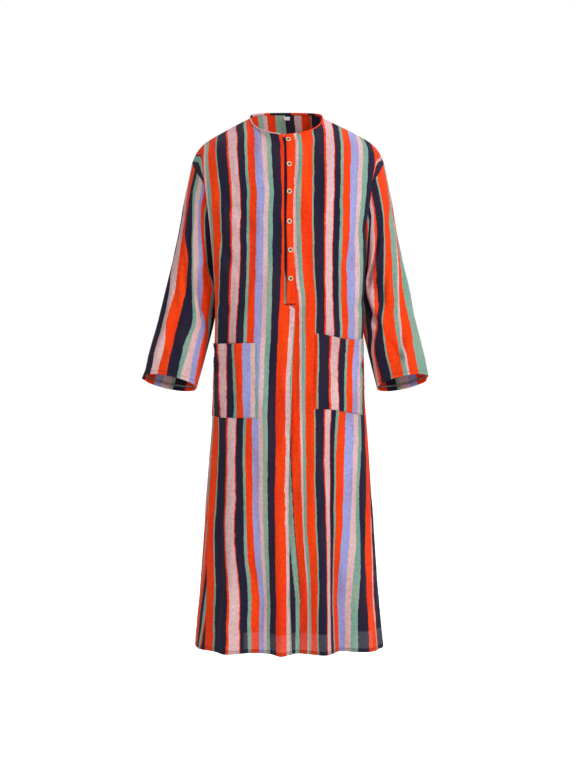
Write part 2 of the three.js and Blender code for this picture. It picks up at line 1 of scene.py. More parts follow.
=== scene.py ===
import bpy
import math
import numpy as np
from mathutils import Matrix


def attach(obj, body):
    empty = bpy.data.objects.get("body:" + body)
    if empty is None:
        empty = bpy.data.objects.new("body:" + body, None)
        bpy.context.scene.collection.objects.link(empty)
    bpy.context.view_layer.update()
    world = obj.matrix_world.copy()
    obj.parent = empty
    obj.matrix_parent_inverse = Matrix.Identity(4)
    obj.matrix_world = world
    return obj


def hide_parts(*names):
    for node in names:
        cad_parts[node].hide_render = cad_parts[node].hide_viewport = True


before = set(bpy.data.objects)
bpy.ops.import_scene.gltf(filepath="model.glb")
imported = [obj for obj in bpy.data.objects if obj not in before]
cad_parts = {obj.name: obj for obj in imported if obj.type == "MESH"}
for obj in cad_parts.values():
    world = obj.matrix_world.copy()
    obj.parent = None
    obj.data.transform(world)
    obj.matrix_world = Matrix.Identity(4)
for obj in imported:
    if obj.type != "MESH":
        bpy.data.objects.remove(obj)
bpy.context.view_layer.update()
scene = bpy.context.scene
print("frame loaded")

# camera: level, square to the front, 4 m away at mid height
cameraData = bpy.data.cameras.new("camera")
cameraData.lens = 75
cameraData.sensor_width = 36
camera = bpy.data.objects.new("camera", cameraData)
camera.location = (0, -4, -0.665)
camera.rotation_euler = (math.pi / 2, 0, 0)
scene.collection.objects.link(camera)
scene.camera = camera

# cloth form, in millimetres
cloth = {
    "hem": -1312, "underarm": -345, "wall": 0.9, "seamGap": 0.3,
    # a fold hangs lower by a share of its depth, and the hem sags a little
    "foldDrop": 0.12, "hemDrop": 5, "hemReach": 150,
    # the arm presses the side in about this angle, in degrees
    "hollowAngle": 98, "hollowSpread": 27,
}
trunk = np.array([
    # height, right, left, front, back, square, hollow, seam angle right, left
    [-1312, 231, 237, 140, 146, 0.70, 0.00, 62, 91],
    [-1155, 217, 222, 138, 140, 0.74, 0.00, 67, 91],
    [-975, 205, 210, 136, 132, 0.80, 0.00, 75, 90],
    [-795, 192, 199, 134, 124, 0.86, 0.00, 84, 90],
    [-705, 187, 192, 134, 120, 0.88, 0.04, 88, 90],
    [-620, 183, 189, 134, 117, 0.88, 0.10, 90, 90],
    [-545, 182, 187, 133, 116, 0.88, 0.18, 90, 90],
    [-470, 181, 187, 132, 116, 0.90, 0.26, 90, 90],
    [-417, 182, 188, 131, 117, 0.92, 0.28, 90, 90],
    [-345, 187, 191, 130, 120, 0.95, 0.28, 90, 90],
])
# lines up the chest, as places across from the centre to the sleeve seam
stations = {"neck": 0.27, "mid": 0.5, "fold": 0.71, "edge": 1}
# height, then x, y, z at centre, neck, mid, fold and edge
frontYoke = np.array([
    [-290, 0, -131, -290, 95, -120, -290, 160, -95, -290, 191, -60, -290, 177, -26, -298],
    [-215, 0, -128, -215, 96, -117, -213, 163, -94, -212, 201, -66, -214, 192, -50, -230],
    [-140, 0, -117, -145, 95, -104, -138, 162, -82, -138, 209, -60, -150, 208, -57, -170],
    [-75, 0, -101, -95, 93, -66, -62, 156, -52, -75, 212, -38, -98, 226, -38, -141],
])
backYoke = np.array([
    [-290, 0, 123, -290, 92, 113, -290, 152, 90, -290, 170, 62, -290, 177, 34, -298],
    [-215, 0, 124, -213, 93, 115, -213, 157, 95, -213, 186, 74, -216, 192, 60, -230],
    [-140, 0, 112, -130, 94, 100, -128, 160, 84, -132, 204, 66, -148, 208, 62, -172],
    [-75, 0, 86, -50, 93, 54, -45, 156, 46, -68, 211, 38, -96, 227, 40, -142],
])
# shoulder seam: place across, x, y, z
shoulder = np.array([
    [0.27, 90, 0, 0], [0.5, 152, 2, -31], [0.71, 210, 4, -65], [0.86, 229, 5, -87], [1, 240, 5, -112],
])
# the neck opening: half width, how far it sits aside, and depth, drop and hollow of its two halves
neck = {"half": 90, "shift": -4}
frontNeck = {"depth": 85, "drop": 53, "hollow": 1.0}
backNeck = {"depth": 60, "drop": -22, "hollow": 0.6}
# place at the hem, place at the upper end, depth, spread, height where it dies out
frontFolds = [
    (-0.62, -0.48, 24, 0.13, -760), (-0.31, -0.25, -5, 0.10, -900), (-0.065, -0.10, 26, 0.075, -800),
    (0.235, 0.15, 21, 0.08, -560), (0.375, 0.26, -17, 0.08, -600), (0.62, 0.55, 13, 0.11, -820),
]
backFolds = [
    (-0.5, -0.4, 18, 0.10, -640), (-0.22, -0.2, 20, 0.09, -560), (0.08, 0.05, -10, 0.08, -700),
    (0.36, 0.28, 21, 0.10, -600), (0.6, 0.5, 12, 0.09, -760),
]
# the placket's slit: its two sides as places across, and its lower end
slit = {"right": -0.027, "left": 0.055, "bottom": -472}


# An even ramp from 0 at start to 1 at end, level at both
def smooth(start, end, t):
    u = np.clip((t - start) / (end - start), 0, 1)
    return u * u * (3 - 2 * u)


# Cubic pieces through the knots. Each slope is the harmonic mean of the rises beside it,
# so the curve never overshoots. values has the knots along its first axis.
def through(knots, values, t):
    knots = np.asarray(knots, float)
    t = np.asarray(t, float)
    values = np.asarray(values, float)
    if values.ndim == 1:
        values = values.reshape((-1,) + (1,) * t.ndim)
    values = np.broadcast_to(values, (len(knots),) + t.shape)
    rises = np.diff(values, axis=0) / np.diff(knots).reshape((-1,) + (1,) * t.ndim)
    before, after = rises[:-1], rises[1:]
    total = np.where(before * after > 0, before + after, 1)
    inside = np.where(before * after > 0, 2 * before * after / total, 0)
    slopes = np.concatenate([rises[:1], inside, rises[-1:]])
    k = np.searchsorted(knots[1:-1], t)
    pick = lambda table, at: np.take_along_axis(table, at[None], 0)[0]
    span = knots[k + 1] - knots[k]
    u = np.clip((t - knots[k]) / span, 0, 1)
    stay = u * u * (3 - 2 * u)
    level = pick(values, k) * (1 - stay) + pick(values, k + 1) * stay
    return level + span * (pick(slopes, k) * u * (1 - u) ** 2 - pick(slopes, k + 1) * u * u * (1 - u))


# Share of the ring's half width at an angle: a sine less a bell beside the arm
def sideReach(angle, hollow):
    away = (angle - cloth["hollowAngle"]) / cloth["hollowSpread"]
    return np.sin(np.radians(angle)) * (1 - hollow * np.exp(-away ** 2))


# A ring of the trunk: x by sideReach, y a power of the cosine
def ringPoint(row, angle):
    turn = np.abs(angle)
    half = np.where(angle < 0, -row[1], row[2])
    x = half * sideReach(turn, row[6]) / sideReach(np.linspace(40, 90, 51), row[6]).max()
    level = np.cos(np.radians(turn))
    y = np.where(level > 0, -row[3], row[4]) * np.abs(level) ** row[5]
    return np.array([x, y, np.full(x.shape, row[0])])


# A level of the chest or back: through its five rails, even about the centre
def yokePoint(row, side, place):
    rails = row[1:].reshape(5, 3)
    rails = np.vstack([rails[1] * [-1, 1, 1], rails])
    knots = [-stations["neck"], 0, stations["neck"], stations["mid"], stations["fold"], stations["edge"]]
    point = np.array([through(knots, rails[:, axis], place) for axis in range(3)])
    point[0] *= side
    return point


# The top of a panel: a quarter turn of the neck curve, then the shoulder seam
def topPoint(isFront, side, place):
    shape = frontNeck if isFront else backNeck
    ease = neck["shift"] * (1 - smooth(stations["neck"], stations["fold"], place))
    sweep = np.clip(place / stations["neck"], 0, 1) * math.pi / 2
    cosine = np.clip(np.cos(sweep), 0, 1)
    curve = np.array([
        side * neck["half"] * np.sin(sweep),
        (-1 if isFront else 1) * shape["depth"] * cosine,
        -shape["drop"] * cosine ** shape["hollow"],
    ])
    seam = np.array([through(shoulder[:, 0], shoulder[:, axis], place) for axis in (1, 2, 3)])
    seam[0] *= side
    point = np.where(place < stations["neck"], curve, seam)
    point[0] += ease
    return point


levelHeights = [*trunk[:, 0], *frontYoke[:, 0], 0]


# A panel's smooth surface: across -1 to 1 from seam to seam, through all its levels by height
def panelPoint(isFront, across, height):
    across, height = np.broadcast_arrays(np.asarray(across, float), np.asarray(height, float))
    side = np.where(across < 0, -1.0, 1.0)
    place = np.abs(across)
    points = []
    for row in trunk:
        seam = np.where(across < 0, row[7], row[8])
        points.append(ringPoint(row, across * seam if isFront else side * (180 - place * (180 - seam))))
    points += [yokePoint(row, side, place) for row in (frontYoke if isFront else backYoke)]
    points.append(topPoint(isFront, side, place))
    points = np.array(points)
    return np.stack([through(levelHeights, points[:, axis], height) for axis in range(3)], axis=-1)


def unit(vectors):
    return vectors / np.maximum(np.linalg.norm(vectors, axis=-1, keepdims=True), 1e-9)


# Outward normal of the smooth surface, from small steps across and up
def panelNormal(isFront, across, height):
    across, height = np.broadcast_arrays(np.asarray(across, float), np.asarray(height, float))
    along = panelPoint(isFront, np.minimum(across + 0.01, 1), height)
    along = along - panelPoint(isFront, np.maximum(across - 0.01, -1), height)
    up = panelPoint(isFront, across, np.minimum(height + 6, 0))
    up = up - panelPoint(isFront, across, np.maximum(height - 6, cloth["hem"]))
    return unit(np.cross(along, up)) * (1 if isFront else -1)


# Skirt folds: a bell across each fold's line, dying out towards its top
def foldDepth(folds, across, height):
    depth = np.zeros(np.broadcast(across, height).shape)
    for hemAt, topAt, deep, spread, top in folds:
        rise = np.clip((height - cloth["hem"]) / (top - cloth["hem"]), 0, 1)
        away = (across - hemAt - (topAt - hemAt) * rise) / (spread * (1 - 0.35 * rise))
        depth += deep * (1 - smooth(0, 1, rise)) * np.exp(-away * away)
    return depth


arcAcross = np.linspace(-1, 1, 201)
arcHeights = np.linspace(cloth["hem"], 0, 165)
# where the width coordinate begins to count x alone
chestOnly = {"across": (stations["neck"], 0.42), "height": (-290, -170)}


# Width coordinate of the cloth: arc length from the centre line along a row. Between the neck
# points it counts x alone, because the stripes run straight up to the neck edge there.
def arcTable(isFront):
    points = panelPoint(isFront, arcAcross[None, :], arcHeights[:, None])
    steps = np.diff(points, axis=1)
    middle = (arcAcross[1:] + arcAcross[:-1]) / 2
    beside = smooth(*chestOnly["across"], np.abs(middle))[None, :]
    whole = 1 - (1 - beside) * smooth(*chestOnly["height"], arcHeights)[:, None]
    lengths = np.sqrt(steps[..., 0] ** 2 + whole * (steps[..., 1] ** 2 + steps[..., 2] ** 2))
    arcs = np.concatenate([np.zeros((len(arcHeights), 1)), np.cumsum(lengths, axis=1)], axis=1)
    centre = len(arcAcross) // 2
    return arcs - arcs[:, centre:centre + 1]


arcTables = {True: arcTable(True), False: arcTable(False)}


# The same coordinate anywhere on the panel, read between the table's four nearest places
def clothAcross(isFront, across, height):
    table = arcTables[isFront]
    rows, columns = len(arcHeights) - 1, len(arcAcross) - 1
    across, height = np.broadcast_arrays(np.asarray(across, float), np.asarray(height, float))
    column = np.clip((across + 1) * columns / 2, 0, columns - 0.001)
    row = np.clip((height - cloth["hem"]) / -cloth["hem"] * rows, 0, rows - 0.001)
    i, j = row.astype(int), column.astype(int)
    u, v = column - j, row - i
    level = lambda k: table[k, j] * (1 - u) + table[k, j + 1] * u
    return level(i) * (1 - v) + level(i + 1) * v


# Creases: each a soft trough or ridge along a bent line between two places on the cloth,
# with a lower one of the other sign beside it
def creaseRelief(creases, s, h):
    relief = np.zeros(np.broadcast(s, h).shape)
    for s0, h0, s1, h1, bend, depth, width in creases:
        runS, runH = s1 - s0, h1 - h0
        run = math.hypot(runS, runH)
        t = ((s - s0) * runS + (h - h0) * runH) / run ** 2
        d = ((s - s0) * runH - (h - h0) * runS) / run - bend * 4 * t * (1 - t)
        fade = np.sin(math.pi * np.clip(t, 0, 1)) ** 2
        bank = 0.4 * np.exp(-((d - 1.9 * width) / width) ** 2)
        relief += depth * fade * (np.exp(-(d / width) ** 2) - bank)
    return relief


# Limp cloth is never flat: waves across the width whose phase drifts with height
def rippleRelief(ripples, s, h):
    relief = np.zeros(np.broadcast(s, h).shape)
    for height, across, along, phase in ripples:
        drift = 1.7 * np.sin(h * 2 * math.pi / along + phase * 2.3)
        swell = 0.6 + 0.4 * np.sin(h * 2 * math.pi / (along * 1.37) + phase * 5.1 + s * 0.011)
        relief += height * swell * np.sin(s * 2 * math.pi / across + phase + drift)
    return relief


print("surface functions ready")


# Outward direction at each place of a grid: its row step crossed with its column step
def gridNormals(grid, wraps=False):
    if wraps:
        along = np.roll(grid, -1, axis=1) - np.roll(grid, 1, axis=1)
    else:
        along = np.gradient(grid, axis=1)
    return unit(np.cross(along, np.gradient(grid, axis=0)))


# Puts millimetre points and faces of equal size into a piece that rides on the body
def linkMesh(name, points, faces, material, uvs=None, flat=False):
    mesh = bpy.data.meshes.new(name)
    mesh.vertices.add(len(points))
    mesh.vertices.foreach_set("co", (np.asarray(points) * 0.001).astype(np.float32).ravel())
    faces = np.asarray(faces, np.int32)
    mesh.loops.add(faces.size)
    mesh.polygons.add(len(faces))
    mesh.loops.foreach_set("vertex_index", faces.ravel())
    mesh.polygons.foreach_set("loop_start", np.arange(0, faces.size, faces.shape[1], dtype=np.int32))
    mesh.polygons.foreach_set("loop_total", np.full(len(faces), faces.shape[1], np.int32))
    mesh.update(calc_edges=True)
    if uvs is not None:
        layer = mesh.uv_layers.new(name="cloth")
        layer.data.foreach_set("uv", np.asarray(uvs, np.float32).ravel())
    if not flat:
        mesh.shade_smooth()
    mesh.materials.append(material)
    piece = bpy.data.objects.new(name, mesh)
    scene.collection.objects.link(piece)
    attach(piece, "root")
    return piece


# A closed shell: the grid is its outside, the inside lies one thickness inwards, and a rim
# closes every edge of the kept cells. uv is in millimetres of cloth, one column more if it wraps.
def clothShell(name, grid, uv, material, thickness=cloth["wall"], wraps=False, keep=None, normals=None):
    rows, columns = grid.shape[:2]
    if normals is None:
        normals = gridNormals(grid, wraps)
    inner = grid - normals * thickness
    cellColumns = columns if wraps else columns - 1
    i, j = np.meshgrid(np.arange(rows - 1), np.arange(cellColumns), indexing="ij")
    kept = np.ones(i.shape, bool) if keep is None else keep
    steps = ((0, 0), (0, 1), (1, 1), (1, 0))
    corners = [(i + di) * columns + (j + dj) % columns for di, dj in steps]
    places = [uv[i + di, j + dj] * 0.001 for di, dj in steps]
    deep = rows * columns
    faces = [np.stack(corners, -1)[kept], np.stack(corners[:1] + corners[:0:-1], -1)[kept] + deep]
    uvs = [np.stack(places, -2)[kept], np.stack(places[:1] + places[:0:-1], -2)[kept]]
    for k, (axis, way) in enumerate(((0, 1), (1, -1), (0, -1), (1, 1))):
        beside = np.roll(kept, way, axis=axis)
        if not (wraps and axis == 1):
            np.moveaxis(beside, axis, 0)[0 if way > 0 else -1] = False
        bare = kept & ~beside
        ahead = (k + 1) % 4
        rim = [corners[ahead], corners[k], corners[k] + deep, corners[ahead] + deep]
        faces.append(np.stack(rim, -1)[bare])
        uvs.append(np.stack([places[ahead], places[k], places[k], places[ahead]], -2)[bare])
    faces, uvs = np.concatenate(faces), np.concatenate(uvs)
    points = np.concatenate([grid.reshape(-1, 3), inner.reshape(-1, 3)])
    used, faces = np.unique(faces, return_inverse=True)
    return linkMesh(name, points[used], faces.reshape(-1, 4), material, uvs)


# materials: a paint's 0 to 255 levels as linear light
def linear(*levels):
    return tuple(((v / 255 + 0.055) / 1.055) ** 2.4 if v > 10 else v / 255 / 12.92 for v in levels) + (1,)


# each paint, and the same where it is washed out
paints = {
    "orange": (linear(252, 68, 6), linear(244, 56, 8)),
    "navy": (linear(31, 29, 52), linear(44, 33, 54)),
    "sage": (linear(122, 164, 150), linear(146, 172, 152)),
    "pink": (linear(228, 188, 188), linear(218, 176, 178)),
    "lavender": (linear(160, 164, 222), linear(158, 150, 196)),
}
bodyStripes = [
    ("pink", 17.5), ("orange", 1.8), ("navy", 15.8), ("sage", 7.3), ("orange", 18.6), ("lavender", 18.3),
    ("pink", 10.5), ("sage", 12.3), ("navy", 21), ("orange", 30), ("pink", 7.5), ("sage", 10.5),
    ("orange", 27.6), ("sage", 3.5), ("navy", 26.3), ("orange", 5.3),
]
backStripes = [
    ("orange", 16), ("sage", 14), ("pink", 11), ("orange", 21.5), ("sage", 26), ("navy", 22.5),
    ("pink", 17), ("orange", 24), ("sage", 2), ("navy", 21), ("orange", 5), ("sage", 13), ("navy", 15),
    ("orange", 18), ("sage", 8),
]
rightSleeveStripes = [
    ("sage", 14), ("pink", 12), ("orange", 36), ("navy", 32), ("sage", 9), ("pink", 22),
    ("lavender", 18), ("orange", 30.5), ("navy", 59.5), ("pink", 21), ("orange", 30), ("navy", 24),
    ("sage", 15), ("pink", 18), ("lavender", 14), ("orange", 18), ("sage", 8), ("navy", 19),
]
leftSleeveStripes = [
    ("pink", 14), ("sage", 12), ("orange", 35), ("navy", 29), ("sage", 9.5), ("pink", 22),
    ("lavender", 20.5), ("orange", 48), ("sage", 48), ("orange", 29), ("pink", 8), ("sage", 11),
    ("orange", 26), ("sage", 4), ("navy", 27), ("orange", 6), ("pink", 17), ("navy", 16), ("sage", 8),
    ("orange", 10),
]
backChart = 91    # place on the chart at the centre of the back
# along the neck edge, from the slit round by the wearer's right
bindingStripes = [
    ("pink", 128), ("navy", 26), ("pink", 44), ("orange", 17), ("navy", 54), ("orange", 46),
    ("navy", 22), ("orange", 200),
]


def newGroup(name, inputs, outputs):
    tree = bpy.data.node_groups.new(name, "ShaderNodeTree")
    for way, sockets in (("INPUT", inputs), ("OUTPUT", outputs)):
        for label, kind in sockets:
            tree.interface.new_socket(name=label, in_out=way, socket_type="NodeSocket" + kind)
    return tree, tree.nodes.new("NodeGroupInput"), tree.nodes.new("NodeGroupOutput")


def addNode(tree, kind, links=(), **settings):
    node = tree.nodes.new("ShaderNode" + kind)
    for key, value in settings.items():
        setattr(node, key, value)
    for socket, source in links:
        if hasattr(source, "is_output"):
            tree.links.new(source, node.inputs[socket])
        else:
            node.inputs[socket].default_value = source
    return node


def maths(tree, operation, *values):
    return addNode(tree, "Math", enumerate(values), operation=operation).outputs[0]


# Carries a value from one range into another
def remap(tree, value, fromLow=0.0, fromHigh=1.0, toLow=0.0, toHigh=1.0):
    sockets = {"Value": value, "From Min": fromLow, "From Max": fromHigh, "To Min": toLow, "To Max": toHigh}
    return addNode(tree, "MapRange", sockets.items()).outputs[0]


def blend(tree, share, first, second):
    return addNode(tree, "Mix", [(0, share), (6, first), (7, second)], data_type="RGBA").outputs[2]


# Noise read at the cloth's own coordinates, stretched by (across, along), from about 0 to 1
def clothNoise(tree, vector, across, along, seed, detail=2.0):
    scaled = addNode(tree, "VectorMath", [(0, vector), (1, (across, along, 1))], operation="MULTIPLY")
    shift = (seed * 3.7, seed * 1.9, seed)
    moved = addNode(tree, "VectorMath", [(0, scaled.outputs[0]), (1, shift)], operation="ADD")
    noise = addNode(tree, "TexNoise", [("Vector", moved.outputs[0]), ("Scale", 1.0), ("Detail", detail)])
    return noise.outputs[0]


gauze = {
    # each noise: stretch across and along, seed, and by how many metres it moves a stripe's edge
    "edges": [
        (9, 5, 1, 0.010), (24, 16, 2, 0.006), (70, 120, 3, 0.0024), (120, 520, 4, 0.0024),
        (300, 600, 5, 0.0014),
    ],
    # each noise: stretch across and along, seed, darkest and lightest share of the colour; the first two
    # are uneven paint, the last is painted shade of the crinkle
    "tonesAndCrinkleShade": [(14, 9, 5, 0.93, 1.05), (240, 120, 6, 0.86, 1.12), (60, 260, 7, 0.93, 1.06)],
    # the weave's noises: stretch, seed and detail; threads to a metre, and the sheen's two ends
    "pucker": (260, 95, 8, 2.5), "crinkle": (620, 480, 9, 2.0), "crinkleShare": 0.55,
    "threads": 260.0, "threadShare": 0.22, "rough": (0.98, 0.84), "bump": 0.0011,
    "washed": (11, 6, 12),
}


# Brush edges: the place across the cloth plus slow, middle and ragged noise, in metres
def brushGroup():
    tree, start, end = newGroup("brushEdges", [("Vector", "Vector")], [("Place", "Float")])
    total = addNode(tree, "SeparateXYZ", [(0, start.outputs[0])]).outputs[0]
    for across, along, seed, amount in gauze["edges"]:
        centred = maths(tree, "SUBTRACT", clothNoise(tree, start.outputs[0], across, along, seed), 0.5)
        total = maths(tree, "ADD", total, maths(tree, "MULTIPLY", centred, amount))
    tree.links.new(total, end.inputs[0])
    return tree


# Paint on gauze: the colour times a broad unevenness and small specks of the paint, and a fine crinkle
# painted as shade
def paintAndCrinkleShadeGroup():
    inputs = [("Color", "Color"), ("Vector", "Vector")]
    tree, start, end = newGroup("paintToneAndCrinkleShade", inputs, [("Color", "Color")])
    value = 1.0
    for across, along, seed, low, high in gauze["tonesAndCrinkleShade"]:
        noise = clothNoise(tree, start.outputs[1], across, along, seed, 3.0)
        value = maths(tree, "MULTIPLY", value, remap(tree, noise, 0.3, 0.7, low, high))
    toned = addNode(tree, "HueSaturation", [("Color", start.outputs[0]), ("Value", value)])
    tree.links.new(toned.outputs[0], end.inputs[0])
    return tree


# Crinkled gauze as a height: upright puckers, a finer crinkle and two crossing sets of threads
def gauzeGroup():
    outputs = [("Height", "Float"), ("Roughness", "Float")]
    tree, start, end = newGroup("gauze", [("Vector", "Vector")], outputs)
    vector = start.outputs[0]
    pucker = clothNoise(tree, vector, *gauze["pucker"])
    crinkle = maths(tree, "MULTIPLY", clothNoise(tree, vector, *gauze["crinkle"]), gauze["crinkleShare"])
    total = maths(tree, "ADD", remap(tree, pucker, 0.32, 0.68), crinkle)
    for way in ("X", "Y"):
        sockets = [("Vector", vector), ("Scale", gauze["threads"]), ("Distortion", 0.6)]
        threads = addNode(tree, "TexWave", sockets, bands_direction=way)
        total = maths(tree, "ADD", total, maths(tree, "MULTIPLY", threads.outputs[1], gauze["threadShare"]))
    tree.links.new(total, end.inputs[0])
    tree.links.new(remap(tree, pucker, 0.0, 1.0, *gauze["rough"]), end.inputs[1])
    return tree


# the paint group gives uneven paint and painted shade of the crinkle
groups = {"brush": brushGroup(), "paint": paintAndCrinkleShadeGroup(), "gauze": gauzeGroup()}


def addGroup(tree, name, links):
    node = tree.nodes.new("ShaderNodeGroup")
    node.node_tree = groups[name]
    for socket, source in links:
        tree.links.new(source, node.inputs[socket])
    return node


def newMaterial(name):
    material = bpy.data.materials.new(name)
    material.use_nodes = True
    tree = material.node_tree
    return material, tree, tree.nodes["Principled BSDF"]


# A ramp of flat steps, each stripe as wide as its share of the chart
def stripeRamp(tree, source, stripes, shade):
    ramp = addNode(tree, "ValToRGB", [(0, source)])
    ramp.color_ramp.interpolation = "CONSTANT"
    total = sum(width for _, width in stripes)
    elements = ramp.color_ramp.elements
    elements.remove(elements[1])
    at = 0
    for k, (paint, width) in enumerate(stripes):
        element = elements[0] if k == 0 else elements.new(at / total)
        element.position = at / total
        element.color = paints[paint][shade]
        at += width
    return ramp.outputs[0]


# One between two places of a coordinate, with soft ends, in metres
def between(tree, source, low, high, soft):
    rise = remap(tree, source, low, low + soft)
    return maths(tree, "MULTIPLY", rise, remap(tree, source, high, high + soft, 1.0, 0.0))


# painted light and shade at the hem: low, high and soft edge by height of the doubled band, painted darker
# as shade, and of the cloth above it, painted paler as light shining through, and the places across the
# chart of those painted lit patches, in metres
hemPaintedLight = {
    "band": (-1.4, -1.3045, 0.001), "above": (-1.3035, -1.264, 0.003),
    "patches": [(0.024, 0.240, 0.006), (0.330, 0.368, 0.006)],
    # share of painted light in the patches, share of painted shade on the band, and the colour of that
    # painted shade
    "paintedLight": 0.05, "paintedShade": 0.2, "darkest": (0.02, 0.01, 0.02, 1),
}


# The hem's painted light and shade: the doubled cloth painted a little darker as shade, and painted light
# shining through in patches just above it
def paintHemLight(tree, vector, colour):
    part = addNode(tree, "SeparateXYZ", [(0, vector)])
    band = between(tree, part.outputs[1], *hemPaintedLight["band"])
    above = between(tree, part.outputs[1], *hemPaintedLight["above"])
    sides = [between(tree, part.outputs[0], *patch) for patch in hemPaintedLight["patches"]]
    patch = maths(tree, "MULTIPLY", above, maths(tree, "ADD", *sides))
    lit = blend(tree, maths(tree, "MULTIPLY", patch, hemPaintedLight["paintedLight"]), colour, (1, 1, 1, 1))
    return blend(tree, maths(tree, "MULTIPLY", band, hemPaintedLight["paintedShade"]), lit, hemPaintedLight["darkest"])


# Striped gauze: the brush place, from start, in shares of the chart, picks the paint. Where
# turns is true, the stripes begin again past the chart's end.
def stripedCloth(name, stripes, start=0.0, turns=True):
    material, tree, shader = newMaterial(name)
    vector = addNode(tree, "UVMap", uv_map="cloth").outputs[0]
    place = addGroup(tree, "brush", [(0, vector)]).outputs[0]
    total = sum(width for _, width in stripes) * 0.001
    share = maths(tree, "DIVIDE", maths(tree, "ADD", place, start * 0.001), total)
    if turns:
        share = maths(tree, "WRAP", share, 1.0, 0.0)
    plain, washed = [stripeRamp(tree, share, stripes, shade) for shade in (0, 1)]
    amount = remap(tree, clothNoise(tree, vector, *gauze["washed"]), 0.4, 0.62)
    # painted light and shade at the hem: a darker band, paler lit patches above it
    colour = paintHemLight(tree, vector, blend(tree, amount, plain, washed))
    # uneven paint, and painted shade of the crinkle
    toned = addGroup(tree, "paint", [(0, colour), (1, vector)])
    tree.links.new(toned.outputs[0], shader.inputs["Base Color"])
    weave = addGroup(tree, "gauze", [(0, vector)])
    tree.links.new(weave.outputs[1], shader.inputs["Roughness"])
    relief = [("Height", weave.outputs[0]), ("Strength", 0.5), ("Distance", gauze["bump"])]
    bump = addNode(tree, "Bump", relief)
    tree.links.new(bump.outputs[0], shader.inputs["Normal"])
    shader.inputs["Specular IOR Level"].default_value = 0.15
    shader.inputs["Sheen Weight"].default_value = 0.04
    shader.inputs["Sheen Roughness"].default_value = 0.6
    return material


bodyCloth = stripedCloth("bodyCloth", bodyStripes)
backCloth = stripedCloth("backCloth", backStripes, start=backChart)
rightSleeveCloth = stripedCloth("rightSleeveCloth", rightSleeveStripes, turns=False)
leftSleeveCloth = stripedCloth("leftSleeveCloth", leftSleeveStripes, turns=False)
bindingCloth = stripedCloth("bindingCloth", bindingStripes)


# One colour, a little uneven and grained: thread, button and label
def plainMaterial(name, colour, roughness, grain=900.0):
    material, tree, shader = newMaterial(name)
    vector = addNode(tree, "TexCoord").outputs["Object"]
    noise = addNode(tree, "TexNoise", [("Vector", vector), ("Scale", grain), ("Detail", 2.0)]).outputs[0]
    value = remap(tree, noise, 0.0, 1.0, 0.82, 1.15)
    toned = addNode(tree, "HueSaturation", [("Color", colour), ("Value", value)])
    tree.links.new(toned.outputs[0], shader.inputs["Base Color"])
    bump = addNode(tree, "Bump", [("Height", noise), ("Strength", 0.4), ("Distance", 0.0003)])
    tree.links.new(bump.outputs[0], shader.inputs["Normal"])
    shader.inputs["Roughness"].default_value = roughness
    return material


orangeThread = plainMaterial("orangeThread", linear(196, 58, 26), 0.8)
darkThreadAndHoleShade = plainMaterial("darkThreadAndHoleShade", linear(30, 28, 40), 0.8)
whiteThread = plainMaterial("whiteThread", linear(228, 222, 216), 0.8)
buttonResin = plainMaterial("buttonResin", linear(226, 208, 170), 0.35, 240.0)
buttonCentre = plainMaterial("buttonCentre", linear(92, 66, 44), 0.5, 240.0)
buttonThread = plainMaterial("buttonThread", linear(126, 88, 58), 0.8)
labelCloth = plainMaterial("labelCloth", linear(236, 234, 230), 0.85, 1500.0)
print("materials ready")


# front and back
# across place, height of both ends, bend, depth and half width of each crease, in millimetres
frontCreases = [
    (-185, -190, -70, -330, -10, -6.5, 13), (-192, -250, -110, -420, 8, -5.7, 12),
    (178, -180, 75, -300, 10, -6.1, 12), (196, -240, 120, -430, -8, -6.9, 13),
    (-60, -130, -74, -520, 6, 4.5, 15), (86, -130, 66, -560, -8, 4.9, 16),
    (-128, -360, -104, -760, 8, 5.3, 16), (140, -420, 118, -800, -6, 4.9, 15),
    (-188, -800, -150, -1250, 12, -7.3, 18), (-96, -700, -120, -1290, -8, 6.1, 17),
    (58, -520, 42, -1100, 6, -8.8, 12), (88, -640, 104, -1290, 8, 6.5, 15),
    (172, -780, 200, -1270, -10, -6.5, 18), (-36, -560, -28, -980, 5, -5.3, 13),
    (24, -160, 22, -470, 3, -3.2, 9), (-20, -150, -22, -470, -2, -2.8, 9),
    (-226, -560, -160, -640, 6, -3.6, 10), (232, -560, 176, -660, -6, -3.6, 10),
    (-210, -440, -120, -500, 6, -3.4, 10), (214, -430, 130, -520, -8, -3.6, 10),
    (-150, -120, -110, -230, 5, -3.6, 10), (150, -115, 106, -240, -5, -4.1, 10),
]
backCreases = [
    (-180, -180, -60, -330, -10, -6.1, 13), (182, -200, 70, -340, 10, -6.1, 13),
    (-30, -110, -40, -620, 8, 4.9, 17), (62, -130, 40, -560, -8, -5.3, 15),
    (-120, -420, -96, -900, 8, 5.3, 16), (130, -380, 150, -940, -8, 4.9, 17),
    (-180, -820, -150, -1260, 10, -6.5, 17), (-60, -760, -74, -1290, -8, 6.1, 16),
    (24, -800, 14, -1290, 7, -6.1, 15), (106, -760, 90, -1280, 8, 6.1, 16),
    (186, -800, 204, -1270, -8, -6.1, 18), (-200, -420, -110, -500, 6, -3.6, 10),
    (206, -430, 120, -520, -8, -3.6, 10), (-70, -80, 0, -130, 8, -4.1, 11),
    (70, -80, 6, -140, -8, -3.6, 11),
]
# height, width, length and phase of each ripple
clothRipples = [
    (1.8, 92, 640, 0.4), (1.2, 57, 410, 1.9), (0.85, 35, 260, 3.1), (0.55, 21, 150, 4.4),
    (0.36, 13.5, 90, 0.9),
]
seamPucker = {"height": 0.5, "length": 19, "wander": 47}


